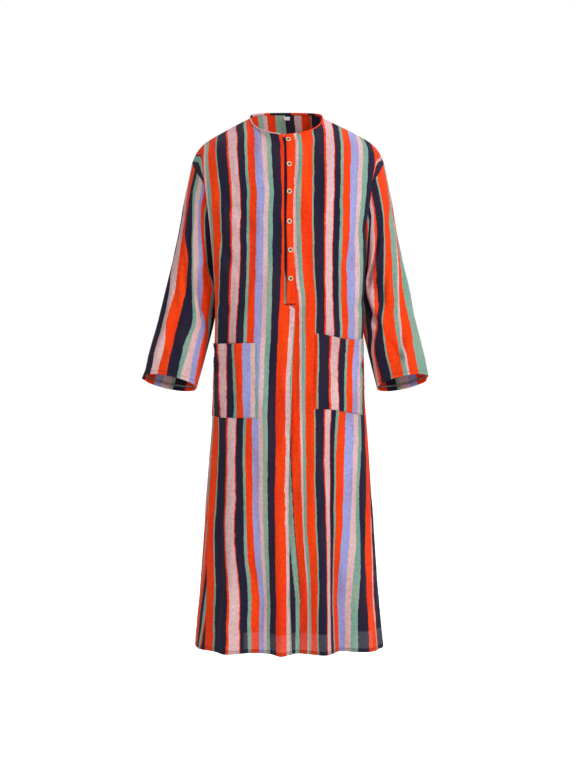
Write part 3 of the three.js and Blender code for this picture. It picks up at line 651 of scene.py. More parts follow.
# Relief of a panel's cloth: creases and ripples, held down at the seams and the neck edge, and a
# small wave along the seams
def panelRelief(isFront, across, height):
    s = clothAcross(isFront, across, height)
    seed = 0 if isFront else 2.6
    ripples = [(high, width, length, phase + seed) for high, width, length, phase in clothRipples]
    relief = creaseRelief(frontCreases if isFront else backCreases, s, height)
    relief = relief + rippleRelief(ripples, s, height)
    place = np.abs(across)
    side = smooth(1, 0.93, place)
    wave = np.sin(height * 2 * math.pi / seamPucker["length"] + 2 * np.sin(height / seamPucker["wander"]))
    pucker = seamPucker["height"] * wave * (1 - smooth(0.9, 1, place) ** 0.5)
    held = relief * (0.35 + 0.65 * smooth(0.3, 0.75, side)) * side
    return (held + smooth(0.84, 0.95, place) * pucker) * smooth(0, -45, height)


# The finished surface, moved out by lift
def clothPoint(isFront, across, height, lift=0.0):
    fold = foldDepth(frontFolds if isFront else backFolds, across, height)
    out = fold + panelRelief(isFront, across, height) + lift
    point = panelPoint(isFront, across, height) + panelNormal(isFront, across, height) * out[..., None]
    low = 1 - smooth(cloth["hem"], cloth["hem"] + cloth["hemReach"], height)
    point[..., 2] -= cloth["foldDrop"] * fold + cloth["hemDrop"] * low
    return point


# the pleat in shares of its spread cloth: place across, depth and, between its ends, the chart; the chart
# puts the hidden layers inside the fold on the navy stripe, as painted shade inside the pleat
pleat = {
    "spread": [0, 0.14, 0.28, 0.42, 0.55, 0.68, 0.8, 0.9, 1],
    "fold": [slit["right"], -0.004, 0.026, 0.031, 0.026, -0.026, -0.032, -0.026, slit["left"]],
    "depth": [0, 0, 0.4, 2.6, 5, 5.4, 7.2, 9, 9],
    # the last three chart places lie on the navy stripe: painted shade inside the fold
    "chart": [156, 162, 164, 203, 206, 214], "beneath": -9.5,
    "deep": 9, "ease": 0.13, "run": 12, "chartRun": (-4, 1), "under": 0.9,
    # layers less deep than this follow the edge, which settles over the last stretch to the top
    "outer": (5.3, 5.1), "edgeTop": 0.02, "settle": 200,
    # how far the pleat's edge lies from an even line, by height
    "edge": [(-1312, -0.006), (-1184, -0.017), (-1040, -0.022), (-900, -0.021), (-775, -0.012), (-672, 0)],
}
# places across of the front's columns, the pleat's as shares of its spread cloth, and the chart's
# place at the centre
front = {
    "right": np.linspace(-1, slit["right"], 80),
    "pleat": np.concatenate([np.linspace(0, 0.9, 27)[1:], np.linspace(0.9, 1, 22)[1:-1]]),
    "left": np.concatenate([np.linspace(slit["left"], 0.15, 34), np.linspace(0.15, 1, 70)[1:]]),
    "rows": 206, "chart": 140,
}
back = {"columns": 150, "rows": 212}
# how far the stripes lie from an even chart: by height, at places across in millimetres
driftPlaces = [
    -255, -223, -217, -190, -150, -110, -70, -35, -8, 5, 25, 45, 65, 90, 120, 150, 185, 228, 238, 275,
]
stripeDrift = np.array([
    [-1184, 15, 15, 15, 15, 1, -6, -10, 8, 16, -51, -51, -36, -11, -5, 27, 29, 21, 21, 21, 21],
    [-993, 24, 24, 24, 24, 14, 3, 8, 13, 24, -33, -30, -13, -6, -4, 20, 20, 7, 7, 7, 7],
    [-775, 18, 18, 18, 18, 14, 7, 11, 12, 21, -22, -18, -11, -3, 2, 14, 7, -5, -5, -5, -5],
    [-534, 14, 14, 14, 14, 11, 5, 5, 4, 12, -15, -15, -9, -7, 2, 0, 5, 0, 0, 0, 0],
    [-340, -2, -2, -2, -2, -1, -3, -2, -1, -2, -1, -2, -1, 0, 3, 5, 3, -3, -3, -3, -3],
    [-215, -50, -50, -7, -7, -3, -4, -3, -2, -2, -1, 0, 0, 1, 1, 1, 0, -1, -1, 45, 45],
    [-75, -24, -24, -4, 7, 10, 3, 5, 4, 2, -4, -4, -2, -2, 0, -1, -2, -6, -11, 10, 10],
    [-10, 1, 0, -2, 7, 10, 3, 5, 4, 2, -4, -4, -2, -2, 0, -1, -2, -6, -6, -15, -15],
])
period = sum(width for _, width in bodyStripes)
orangeStart, pinkEnd = 123.1, 160.6
# how far the chart runs past the last orange or pink, and its place from there: sage, then navy
pastOrange = [0, 0.5, 15, 15.5, 80], [0, -22, -32, -19, -2]
pastPink = [0, 0.5, 60], [0, -38, -55]


# Chart coordinate of the front's stripes. Past the last orange band each way come sage and navy.
def frontChart(s, height):
    s, height = np.broadcast_arrays(np.asarray(s, float), np.asarray(height, float))
    levels = stripeDrift[:, 0]
    drift = np.stack([np.interp(s, driftPlaces, row[1:]) for row in stripeDrift])
    base = s + front["chart"] + through(levels, drift, np.clip(height, levels[0], levels[-1]))
    atPleat = (s > -12) & (s < 60) & (height < slit["bottom"])
    for start, near in ((orangeStart - period, s < -100), (orangeStart, atPleat)):
        past = start - base
        base = np.where((past > 0) & near, start + np.interp(past, *pastOrange), base)
    last = pinkEnd + period
    return np.where(base > last, last + np.interp(base - last, *pastPink), base)


# Columns of the front: plain ones keep their place, and the pleat's go under each other below
# the placket. Returns the place across, the lift and the chart coordinate.
def frontPlaces(height):
    rightCols, spread, leftCols = front["right"], front["pleat"], front["left"]
    top = slit["bottom"]
    formed = 1 - smooth(top - pleat["run"], top, height)[:, None]
    flat = slit["right"] + (slit["left"] - slit["right"]) * spread
    fold = through(pleat["spread"], pleat["fold"], spread)
    depth = through(pleat["spread"], pleat["depth"], spread)
    settled = smooth(top - pleat["settle"], top, height)[:, None] * pleat["edgeTop"]
    outer = smooth(*pleat["outer"], depth)
    edge = np.interp(height, *zip(*pleat["edge"]))[:, None] / (max(pleat["fold"][:5]) - slit["right"])
    fold = fold + (settled + (fold - slit["right"]) * edge) * outer
    pleatAcross = flat + (fold - flat) * formed
    beyond = 1 - smooth(slit["left"], pleat["ease"], leftCols)
    rows = len(height)
    rightAcross, leftAcross = [np.tile(places, (rows, 1)) for places in (rightCols, leftCols)]
    across = np.concatenate([rightAcross, pleatAcross, leftAcross], axis=1)
    sunk = np.sqrt(formed)
    lift = -np.concatenate([0 * rightAcross, depth * sunk, pleat["deep"] * beyond * sunk], axis=1)
    chart = frontChart(clothAcross(True, across, height[:, None]), height[:, None])
    first, last = len(rightCols), len(rightCols) + len(spread)
    beneath = frontChart(np.full(rows, pleat["beneath"]), height)
    # the pleat's hidden layers take the navy places of its chart: painted shade in the fold
    knots = [chart[:, first - 1], *[np.full(rows, c) for c in pleat["chart"]], beneath, chart[:, last]]
    layers = through(pleat["spread"], np.stack(knots)[:, :, None], np.tile(spread, (rows, 1)))
    begun = 1 - smooth(*[top + run for run in pleat["chartRun"]], height)[:, None]
    chart[:, first:last] += np.where(spread > pleat["under"], 0, layers - chart[:, first:last]) * begun
    return across, lift, chart


# the hem turned up inside: height over the fold, and lift, of its rows
hemTurn = {"rows": [(8, -1.9), (4, -1.9), (1.2, -1.8), (0.2, -0.95)], "fold": 0.6}


# Rows of a panel: the turned-up hem inside, then the fold, then up to the shoulder
def panelRows(count):
    rise, lift = zip(*hemTurn["rows"])
    fold = cloth["hem"] + hemTurn["fold"]
    heights = np.concatenate([cloth["hem"] + np.array(rise), fold + np.linspace(0, 1, count) * -fold])
    return heights, np.concatenate([lift, np.zeros(count)])


# Draws the outer columns and the top row in, so that neighbours keep the seam gap
def drawIn(grid, amount=cloth["seamGap"] * 0.6):
    for edge, inner in ((0, 1), (-1, -2)):
        grid[:, edge] += unit(grid[:, inner] - grid[:, edge]) * amount
    grid[-1] += unit(grid[-2] - grid[-1]) * amount


def buildFront():
    heights, rowLift = panelRows(front["rows"])
    across, lift, chart = frontPlaces(heights)
    grid = clothPoint(True, across, heights[:, None], lift + rowLift[:, None])
    normals = gridNormals(grid)
    drawIn(grid)
    keep = np.ones((grid.shape[0] - 1, grid.shape[1] - 1), bool)
    first = len(front["right"]) - 1
    keep[heights[:-1] >= slit["bottom"] - 2, first:first + len(front["pleat"]) + 1] = False
    uv = np.stack([chart, np.broadcast_to(heights[:, None], chart.shape)], -1)
    piece = clothShell("front", grid, uv, bodyCloth, keep=keep, normals=normals)
    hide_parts("front_panel")
    return grid, normals


def buildBack():
    heights, rowLift = panelRows(back["rows"])
    across = np.linspace(1, -1, back["columns"])
    grid = clothPoint(False, across[None, :], heights[:, None], rowLift[:, None])
    normals = gridNormals(grid)
    drawIn(grid)
    chart = clothAcross(False, across[None, :], heights[:, None])
    uv = np.stack([chart, np.broadcast_to(heights[:, None], chart.shape)], -1)
    piece = clothShell("back", grid, uv, backCloth, normals=normals)
    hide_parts("back_panel")
    return grid, normals


frontSheet = buildFront()
backSheet = buildBack()
print("front and back made")

# sleeves
sleeve = {
    "length": 472, "rows": 150, "columns": 132,
    # the cuff's hem turned up inside: height over the fold, and lift, of its rows
    "turned": [(14.5, -1.9), (7, -1.9), (1.5, -1.8), (0.3, -0.95)],
    # the left one bends in by this much at the cuff, and is this much narrower
    "leftIn": 9, "leftNarrow": 3,
    "chartEnds": 300,    # even chart beyond the first and last start
}
# along, outer x and z, inner x and z, how far back, half depth, rise of the front
sleeveRings = np.array([
    [0.22, 264, -226, 177, -376, 14, 62, 0], [0.4, 288, -345, 172, -425, 11, 61, 0],
    [0.6, 315, -470, 184, -507, -2, 59, 4], [0.8, 339, -567, 204, -592, -25, 52, 10],
    [1, 360, -649, 226, -675, -50, 43, 17],
])
# place round, turn downwards, depth, spread, where along, reach
sleeveFolds = [
    (118, -34, -9, 20, 0.42, 0.3), (62, 24, -6, 18, 0.62, 0.22), (20, 10, -5, 20, 0.35, 0.2),
    (250, 26, -9, 22, 0.5, 0.3), (310, -18, -6, 20, 0.72, 0.2),
]
# finer ones: place round and along at both ends, in millimetres, bend, depth, half width
sleeveCreases = {
    -1: [
        (100, -95, 178, -335, 24, -13.0, 9), (66, -330, 120, -440, 10, -6.5, 9),
        (72, -60, 104, -230, 8, -7.0, 9), (60, -120, 118, -330, 10, -7.7, 9),
        (20, -160, 70, -420, -8, 6.8, 11), (95, -260, 60, -470, 8, -6.8, 9),
        (-40, -90, -20, -300, 8, -5.9, 10), (-90, -160, -60, -420, -8, 6.4, 11),
        (130, -200, 150, -380, 6, -5.4, 9), (0, -380, 30, -560, 6, -5.4, 9),
        (-130, -120, -150, -360, 8, -6.4, 10), (60, -470, 40, -620, -6, 4.6, 9),
    ],
    1: [
        (156, -190, 112, -360, -8, -12.0, 9), (100, -75, 150, -226, -6, -11.0, 8),
        (66, -150, 100, -300, 12, -7.0, 9), (50, -120, 112, -310, -10, -7.2, 9),
        (10, -170, 66, -430, 8, 6.8, 11), (70, -330, 112, -450, 10, -8.3, 8),
        (112, -330, 60, -470, -10, -7.2, 8), (-50, -100, -26, -310, -8, -5.9, 10),
        (-96, -170, -64, -430, 8, 6.4, 11), (0, -400, -24, -570, -6, -5.4, 9),
        (-130, -130, -152, -370, -8, -6.4, 10), (40, -480, 66, -620, 6, 5.0, 9),
    ],
}
sleeveRipples = [(1.3, 62, 330, 0.7), (0.8, 39, 210, 2.2), (0.55, 24, 140, 3.6), (0.3, 14, 80, 5.0)]


# Where the stripes begin on the front of a sleeve: places on the chart, then, by place down the
# sleeve, how far round from its outer line, in millimetres
sleeveStarts = {
    -1: ([233, 254, 284, 308, 323, 341, 355, 373, 381], np.array([
        [-460, 40, 61, 85, 110, 119, 143, 160, 180, 188], [-390, 37, 61, 82, 109, 123, 137, 154, 178, 186],
        [-320, 36, 55, 78, 114, 124, 139, 156, 165, 172], [-250, 24, 51, 82, 103, 108, 121, 130, 152, 168],
        [-180, 5, 42, 81, 91, 95, 109, 124, 155, 161], [-110, 0, 38, 53, 86, 93, 114, 133, 152, 160],
        [-40, -14, 8, 40, 56, 71, 90, 103, 125, 133],
    ])),
    1: ([238, 267, 275, 286, 312, 316, 343, 349, 366], np.array([
        [-460, 47, 73, 78, 88, 116, 119, 147, 155, 172], [-390, 49, 74, 79, 87, 119, 122, 151, 156, 165],
        [-320, 45, 67, 72, 81, 113, 116, 129, 134, 144], [-250, 38, 55, 60, 70, 97, 100, 112, 121, 141],
        [-180, 19, 29, 42, 62, 86, 90, 110, 120, 148], [-110, -12, 6, 19, 57, 82, 87, 120, 127, 157],
        [-75, -20, -3, 4, 22, 74, 79, 111, 124, 150], [-40, -25, -8, -3, 5, 70, 75, 105, 112, 128],
    ])),
}


# Chart coordinate of a sleeve's stripes: an even chart beyond the first and last start
def sleeveChart(side, s, travel):
    marks, table = sleeveStarts[side]
    places = np.tile(np.clip(travel, table[0, 0], table[-1, 0])[:, None], (1, len(marks)))
    starts = through(table[:, 0], table[:, None, 1:], places)
    wider = lambda row: [row[0] - sleeve["chartEnds"], *row, row[-1] + sleeve["chartEnds"]]
    return np.stack([np.interp(line, wider(row), wider(marks)) for line, row in zip(s, starts)])


# The edge that front and back leave at the armhole: turn 0 shoulder, 90 front, 180 underarm
def armholePoint(side, turn):
    isFront = turn <= 180
    height = cloth["underarm"] * np.where(isFront, turn, 360 - turn) / 180
    edge = np.full(turn.shape, float(side))
    point = np.where(isFront[..., None], panelPoint(True, edge, height), panelPoint(False, edge, height))
    # clear of the seam
    point[..., 0] += side * 0.5
    point[..., 2] -= 0.6 * np.maximum(np.cos(np.radians(turn)), 0)
    return point


# The sleeve tube: armhole, then tilted ellipses, joined along by smooth curves
def sleevePoint(side, turn, along, lift=0.0):
    turn, along = np.broadcast_arrays(np.asarray(turn, float), np.asarray(along, float))
    angle = np.radians(turn)
    rings = [armholePoint(side, turn)]
    for place, outX, outZ, inX, inZ, back, depth, pitch in sleeveRings:
        ease = place ** 2 if side > 0 else 0
        middleX = (outX + inX) / 2 - sleeve["leftIn"] * ease
        halfX = (outX - inX) / 2 - sleeve["leftNarrow"] * ease
        middleZ = (outZ + inZ) / 2
        rings.append(np.stack([
            side * (middleX + halfX * np.cos(angle)), back - depth * np.sin(angle),
            middleZ + (outZ - middleZ) * np.cos(angle) + pitch * np.sin(angle),
        ], -1))
    rings = np.array(rings)
    knots = [0, *sleeveRings[:, 0]]
    point = np.stack([through(knots, rings[..., axis], along) for axis in range(3)], -1)
    out = np.zeros(turn.shape) + lift
    for at, lean, deep, spread, centre, reach in sleeveFolds:
        place = (along - centre) / reach
        out += deep * np.exp(-((turn - at - lean * place) / spread) ** 2 - place * place)
    outward = np.stack([side * np.cos(angle), -np.sin(angle), np.zeros(turn.shape)], -1)
    return point + outward * out[..., None]


# A sleeve: rows from inside the cuff up to the armhole, columns round from the underarm seam
def buildSleeve(name, side, material, node):
    rise, lift = np.array(sleeve["turned"]).T
    rows = np.concatenate([1 - rise / sleeve["length"], np.linspace(1, 0, sleeve["rows"])])
    rowLift = np.concatenate([lift, np.zeros(sleeve["rows"])])
    columns = sleeve["columns"]
    turns = (180 - np.arange(columns) * 360 / columns * side) % 360
    base = sleevePoint(side, turns[None, :], rows[:, None])
    # place across: distance round the tube from its outer line, plus to the front
    steps = np.linalg.norm(np.roll(base, -1, axis=1) - base, axis=-1)
    arcs = np.concatenate([np.zeros((len(rows), 1)), np.cumsum(steps, axis=1)], axis=1)
    arcs = (arcs - arcs[:, columns // 2:columns // 2 + 1]) * (-side)
    down = np.linalg.norm(np.diff(base, axis=0), axis=-1).mean(axis=1)
    travel = np.concatenate([[0], np.cumsum(down)])
    travel = -(travel[-1] - travel)
    travel[:len(rise)] = travel[len(rise)] + rise
    s, h = arcs[:, :-1], np.broadcast_to(travel[:, None], base.shape[:2])
    relief = creaseRelief(sleeveCreases[side], s, h) + rippleRelief(sleeveRipples, s, h)
    fromSeam = np.minimum(np.arange(columns), columns - np.arange(columns)) / columns
    fade = smooth(0, 0.06, rows)[:, None] * smooth(0, 0.05, fromSeam)[None, :]
    grid = sleevePoint(side, turns[None, :], rows[:, None], rowLift[:, None] + relief * fade)
    uv = np.stack([sleeveChart(side, arcs, travel), np.broadcast_to(travel[:, None], arcs.shape)], -1)
    normals = gridNormals(grid, wraps=True)
    piece = clothShell(name, grid, uv, material, wraps=True, normals=normals)
    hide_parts(node)
    return grid, normals


leftSleeveSheet = buildSleeve("sleeveLeft", 1, leftSleeveCloth, "sleeve_left")
rightSleeveSheet = buildSleeve("sleeveRight", -1, rightSleeveCloth, "sleeve_right")
print("sleeves made")

# pockets
pocket = {
    "top": -562, "bottom": -746, "rows": 72, "columns": 64, "wall": 0.8, "lift": 1.35,
    "ripples": [(0.5, 46, 31, 0.2), (0.4, 27, 19, 1.7), (0.3, 15, 12, 3.3)],
    # right and left: places across at the top and bottom of both sides, chart's offset and stretch,
    # and how far the ends lie from level, at places in x
    -1: {
        "inner": (-0.2405, -0.2555), "outer": (-0.994, -0.994), "chart": (179, 0.9),
        "raise": 0, "gape": 3, "mouth": 0.5,
        "top": [(-190, 2), (-176, -4.5), (-74, -4)], "bottom": [(-190, 4), (-176, -1), (-70, -2)],
        "creases": [
            (-180, -590, -90, -600, 4, 0.9, 6), (-170, -640, -80, -628, -5, -0.9, 6),
            (-184, -690, -100, -700, 5, 1.0, 7),
        ],
    },
    1: {
        "inner": (0.2045, 0.2045), "outer": (0.738, 0.757), "chart": (129, 1.0),
        "raise": 13, "gape": 6, "mouth": 0.72,
        "top": [(66, 7), (92, 2), (110, -2), (126, -7), (165, -8), (186, 0)],
        "bottom": [(60, 7.5), (106, 6), (139, 0.5), (164, -4), (188, -9)],
        "creases": [
            (80, -580, 180, -590, -5, 1.1, 6), (74, -622, 170, -634, 5, -1.1, 6),
            (86, -672, 190, -664, -4, 1.1, 7), (96, -560, 104, -720, 4, -0.9, 7),
        ],
    },
}


# A pocket is the front's own surface moved out. Its ends bend as the tables say, its mouth
# stands open and its edge lies down on the front.
def buildPocket(name, side, node):
    shape = pocket[side]
    u, t = np.meshgrid(np.linspace(0, 1, pocket["columns"]), np.linspace(0, 1, pocket["rows"]))
    inner, outer = [low + (high - low) * t for high, low in (shape["inner"], shape["outer"])]
    across = inner + (outer - inner) * u if side > 0 else outer + (inner - outer) * u
    x = panelPoint(True, across, np.full(t.shape, -650.0))[..., 0]
    ends = [pocket[end] + shape["raise"] + np.interp(x, *zip(*shape[end])) for end in ("bottom", "top")]
    height = ends[0] + (ends[1] - ends[0]) * t
    # the lift grows away from the sewn edges, and the mouth bows out most in its middle
    free = smooth(0, 1, np.minimum(np.minimum(u, 1 - u) * 12, t * 20))
    bow = np.sin(math.pi * (u if side > 0 else 1 - u) ** shape["mouth"])
    s = clothAcross(True, across, height)
    crinkle = creaseRelief(shape["creases"], s, height) + rippleRelief(pocket["ripples"], s, height)
    lift = pocket["lift"] + 0.35 * free + shape["gape"] * smooth(0.55, 1, t) ** 1.4 * bow ** 2
    grid = clothPoint(True, across, height, lift + np.maximum(crinkle, -0.4) * free)
    offset, stretch = shape["chart"]
    uv = np.stack([(s + offset) * stretch, height], -1)
    normals = gridNormals(grid)
    piece = clothShell(name, grid, uv, bodyCloth, thickness=pocket["wall"], normals=normals)
    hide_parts(node)
    return grid, normals


leftPocketSheet = buildPocket("pocketLeft", 1, "pocket_left")
rightPocketSheet = buildPocket("pocketRight", -1, "pocket_right")
print("pockets made")

# placket and buttons
placket = {
    # both bands from side to side, as places across
    "over": (-0.0085, 0.0536), "under": (-0.0465, 0.0375),
    "wall": 0.8, "lift": 1.5, "gape": 1.6, "sunk": -1.9, "rows": 190, "columns": 13,
    # the under band's chart: its start, and by how much it moves between two heights
    "chart": 118, "chartMoves": [(-11.5, -355, -420), (42, -20, -8)],
    # height and place across of each button, and how far apart they are
    "buttons": [
        (-30, 0.0065), (-124, 0.0075), (-198, 0.0075), (-272, 0.0095), (-341, 0.0155), (-410, 0.0165),
    ],
    "spacing": 70,
}


# How far the over band stands out: its free edge gapes between its two ends
def bandLift(height, u):
    middle = smooth(slit["bottom"], slit["bottom"] + 60, height) * (1 - smooth(-120, 0, height))
    buttoned = 0.25 * np.cos((height + 54) * 2 * math.pi / placket["spacing"])
    return placket["lift"] + (placket["gape"] - buttoned) * (1 - smooth(0, 1, u)) * middle


def bandAcross(band, u):
    low, high = placket[band]
    return low + (high - low) * u


# A place on the over band, whose free edge wanders a little
def bandPoint(u, height, more=0.0):
    wander = 0.0022 * np.sin(height / 31 + 1) * (1 - u)
    return clothPoint(True, bandAcross("over", u) + wander, height, bandLift(height, u) + more)


def buildBands():
    heights = np.linspace(slit["bottom"] + 0.5, 0, placket["rows"])
    u, h = np.meshgrid(np.linspace(0, 1, placket["columns"]), heights)
    grid = bandPoint(u, h)
    chart = frontChart(clothAcross(True, bandAcross("over", u), h), h)
    over = clothShell("placketOver", grid, np.stack([chart, h], -1), bodyCloth, thickness=placket["wall"])
    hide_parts("placket_over")
    overSheet = (grid, gridNormals(grid))
    across = bandAcross("under", u)
    grid = clothPoint(True, across, h, np.full(h.shape, placket["sunk"]))
    chart = clothAcross(True, across, h) + placket["chart"]
    chart += sum(move * smooth(start, end, h) for move, start, end in placket["chartMoves"])
    under = clothShell("placketUnder", grid, np.stack([chart, h], -1), bodyCloth, thickness=placket["wall"])
    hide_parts("placket_under")
    return overSheet


overSheet = buildBands()

button = {
    "radius": 6, "height": 2.4, "sides": 40,
    # radius and height of each ring, as shares, from the back's rim round to the well in the face
    "profile": [
        (0.7, 0), (0.93, 0.18), (1, 0.45), (0.985, 0.75), (0.92, 0.95), (0.82, 1), (0.7, 0.93), (0.6, 0.76),
        (0.5, 0.66), (0.42, 0.62), (0.2, 0.6),
    ],
    "well": 8,    # the ring at which the darker well begins
    "holeRing": 1.25, "hole": (0.55, 0.16), "thread": (0.34, 3.0), "threadRise": 0.25,
}


# A solid turned round a line: rings from pairs of radius and height, closed by a flat face at
# both ends. Returns its points in metres and its faces.
def turnedSolid(seat, aside, up, out, profile, sides):
    angles = np.arange(sides) * 2 * math.pi / sides
    ring = np.cos(angles)[:, None] * aside + np.sin(angles)[:, None] * up
    profile = np.array(profile)
    points = seat + profile[:, None, :1] * ring + profile[:, None, 1:] * out
    i, j = np.meshgrid(np.arange(len(profile) - 1), np.arange(sides), indexing="ij")
    a, b = i * sides + j, i * sides + (j + 1) % sides
    quads = np.stack([a, b, b + sides, a + sides], -1).reshape(-1, 4)
    last = (len(profile) - 1) * sides + np.arange(sides)
    return points.reshape(-1, 3) * 0.001, [*quads.tolist(), np.arange(sides)[::-1].tolist(), last.tolist()]


# A short closed rod with six sides
def rod(start, way, aside, radius, length):
    return turnedSolid(start, aside, np.cross(way, aside), way, [(radius, 0), (radius, length)], 6)


# A button, seated on the band: the turned body, four holes and two bars of thread
def buildButton(index, height, across):
    low, high = placket["over"]
    u = (across - low) / (high - low)
    onBand = lambda us, heights, more=0.0: bandPoint(np.array([us]), np.array([heights], float), more)[0]
    seat = onBand([u], [height], 0.1)[0]
    near = onBand([u - 0.15, u + 0.15], [height] * 2)
    upper = onBand([u, u], [height - 5, height + 5])
    aside, up = unit(near[1] - near[0]), unit(upper[1] - upper[0])
    out = unit(np.cross(aside, up))
    up = np.cross(out, aside)
    size = np.array([button["radius"], button["height"]])
    body = turnedSolid(seat, aside, up, out, button["profile"] * size, button["sides"])
    first = button["well"] * button["sides"]
    parts = [(*body, [int(max(face) >= first) for face in body[1]])]
    # the four holes are short dark rods in the well, in the dark thread's material: painted shade in each
    # hole
    for x, y in ((1, 1), (1, -1), (-1, 1), (-1, -1)):
        hole = seat + (aside * x + up * y) * button["holeRing"] + out * (0.58 * button["height"])
        parts.append((*rod(hole, out, aside, *button["hole"]), 2))
    for y in (-1, 1):
        middle = seat + up * y * button["holeRing"] + out * (0.6 * button["height"] + button["threadRise"])
        radius, length = button["thread"]
        parts.append((*rod(middle - aside * length / 2, aside, out, radius, length), 3))
    allPoints, allFaces, slots = [], [], []
    for points, faces, slot in parts:
        allFaces += [[v + len(allPoints) for v in face] for face in faces]
        allPoints += points.tolist()
        slots += slot if isinstance(slot, list) else [slot] * len(faces)
    mesh = bpy.data.meshes.new(f"button{index}")
    mesh.from_pydata(allPoints, [], allFaces)
    for material in (buttonResin, buttonCentre, darkThreadAndHoleShade, buttonThread):
        mesh.materials.append(material)
    mesh.polygons.foreach_set("material_index", slots)
    mesh.shade_smooth()
    mesh.validate()
    mesh.set_sharp_from_angle(angle=math.radians(38))
    piece = bpy.data.objects.new(f"button{index}", mesh)
    scene.collection.objects.link(piece)
    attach(piece, "root")
    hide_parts(f"button_{index}")


for index, (height, across) in enumerate(placket["buttons"], 1):
    buildButton(index, height, across)
print("placket and buttons made")

# neck binding: a strip folded over the neck edge, out, over the top and in
binding = {"skin": 0.5, "room": 0.35, "outside": 1.8, "inside": 4.6, "columns": (60, 110, 60), "even": 9}


# The strip's rows follow the neck edge. Its columns go down both sides and round the edge in a half turn.
def buildBinding():
    stop = stations["neck"]
    right, middle, left = binding["columns"]
    runs = [
        (True, np.linspace(slit["right"], -stop, right)), (False, np.linspace(-stop, stop, middle)[1:-1]),
        (True, np.linspace(stop, slit["left"], left)),
    ]
    edges = np.concatenate([clothPoint(face, across, np.zeros(across.shape)) for face, across in runs])
    outs = np.concatenate([panelNormal(face, across, np.full(across.shape, -3.0)) for face, across in runs])
    # normals evened out over a few neighbours, so that the strip turns smoothly at the shoulders
    kernel = np.ones(binding["even"]) / binding["even"]
    spare = binding["even"] // 2
    padded = np.concatenate([np.repeat(outs[:1], spare, 0), outs, np.repeat(outs[-1:], spare, 0)])
    outs = unit(np.stack([np.convolve(padded[:, axis], kernel, "valid") for axis in range(3)], -1))
    tangents = unit(np.gradient(edges, axis=0))
    downs = unit(np.cross(outs, tangents))
    outs = unit(np.cross(tangents, downs))
    radius = cloth["wall"] / 2 + binding["room"] + binding["skin"]
    turns = np.linspace(0, math.pi, 7)
    profile = [(radius, binding["outside"] * k) for k in (1, 0.5)]
    profile += [(radius * math.cos(a), -radius * math.sin(a)) for a in turns]
    profile += [(-radius, binding["inside"] * k) for k in (0.33, 0.66, 1)]
    middle = edges - outs * cloth["wall"] / 2
    grid = np.stack([middle + outs * away + downs * fall for away, fall in profile], 1)
    lengths = np.concatenate([[0], np.cumsum(np.linalg.norm(np.diff(edges, axis=0), axis=-1))])
    across = np.cumsum([0, 0.9, 0.9] + [0.7] * (len(turns) - 1) + [1.5] * 3)
    uv = np.stack(np.broadcast_arrays(lengths[:, None], across[None, :]), -1)
    if np.sum(gridNormals(grid)[:, 0] * outs) < 0:
        grid, uv = grid[:, ::-1], uv[:, ::-1]
    piece = clothShell("neckBinding", grid, uv, bindingCloth, thickness=binding["skin"])
    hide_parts("neck_binding")
    print("neck edge", round(float(lengths[-1])), "mm")


buildBinding()
label = bpy.data.objects["neck_label"]
for place in range(len(label.material_slots)):
    label.material_slots[place].material = labelCloth

# stitching: pitch, share of it that shows and width of each seam, and the rows or columns of the
# sheet's grid that it lies on
stitches = {
    "hem": {"pitch": 3.0, "share": 0.85, "width": 0.9}, "hemRow": 5.2,
    "cuff": {"pitch": 2.8, "share": 0.85, "width": 0.7}, "cuffRow": 7.4,
    "pocketEdge": 0.9, "pocketRows": (0.8, 64.6),
    "band": {"pitch": 2.8}, "bandColumns": (1.1, 11),
    "bandEnd": {"pitch": 2.4}, "endRows": (0.4, 5.5),
    "overlock": {"pitch": 2.4, "depth": 5.0}, "overlockRow": 0.15, "rise": 0.3,
}


# Bars of thread: each a low hump from its start to its end, both ends sunk into the cloth
def threadBars(starts, ends, normals, width):
    aside = unit(np.cross(normals, ends - starts)) * width / 2
    sink = normals * stitches["rise"] * 0.5
    corners = []
    for share, high in ((0, -1), (0.25, 1), (0.75, 1), (1, -1)):
        middle = starts + (ends - starts) * share + sink * high
        corners += [middle - aside, middle + aside]
    for foot in (starts - sink * 2, ends - sink * 2):
        corners += [foot - aside, foot + aside]
    faces = np.array([
        [0, 2, 3, 1], [2, 4, 5, 3], [4, 6, 7, 5], [8, 9, 11, 10], [0, 1, 9, 8], [6, 10, 11, 7],
        [0, 8, 10, 6], [1, 7, 11, 9], [2, 0, 6, 4], [3, 5, 7, 1],
    ])
    every = (np.arange(len(starts)) * len(corners))[:, None, None] + faces[None]
    return np.stack(corners, 1).reshape(-1, 3), every.reshape(-1, 4)


# A line over a sheet at a row or column that may lie between two of the grid's
def sheetLine(sheet, row=None, column=None):
    index, axis = (row, 0) if row is not None else (column, 1)
    low = int(index)
    high = min(low + 1, sheet[0].shape[axis] - 1)
    share = index - low
    take = lambda table, at: np.take(table, at, axis)
    points, normals = [take(table, low) * (1 - share) + take(table, high) * share for table in sheet]
    return points, unit(normals)


# Places along a line, one pitch apart, and a function that reads the line at any place
def resample(points, normals, pitch):
    lengths = np.concatenate([[0], np.cumsum(np.linalg.norm(np.diff(points, axis=0), axis=-1))])
    places = np.arange(pitch * 0.5, lengths[-1] - pitch * 0.5, pitch)
    at = lambda table, where: np.stack([np.interp(where, lengths, table[:, axis]) for axis in range(3)], -1)
    return places, lambda where: (at(points, where), unit(at(normals, where)))


# Straight stitches along a line, one a pitch
def stitchRow(line, pitch=3.2, share=0.72, width=0.45, lift=0.12):
    places, at = resample(*line, pitch)
    starts, outA = at(places - pitch * share / 2)
    ends, outB = at(places + pitch * share / 2)
    normals = unit(outA + outB)
    return threadBars(starts + normals * lift, ends + normals * lift, normals, width)


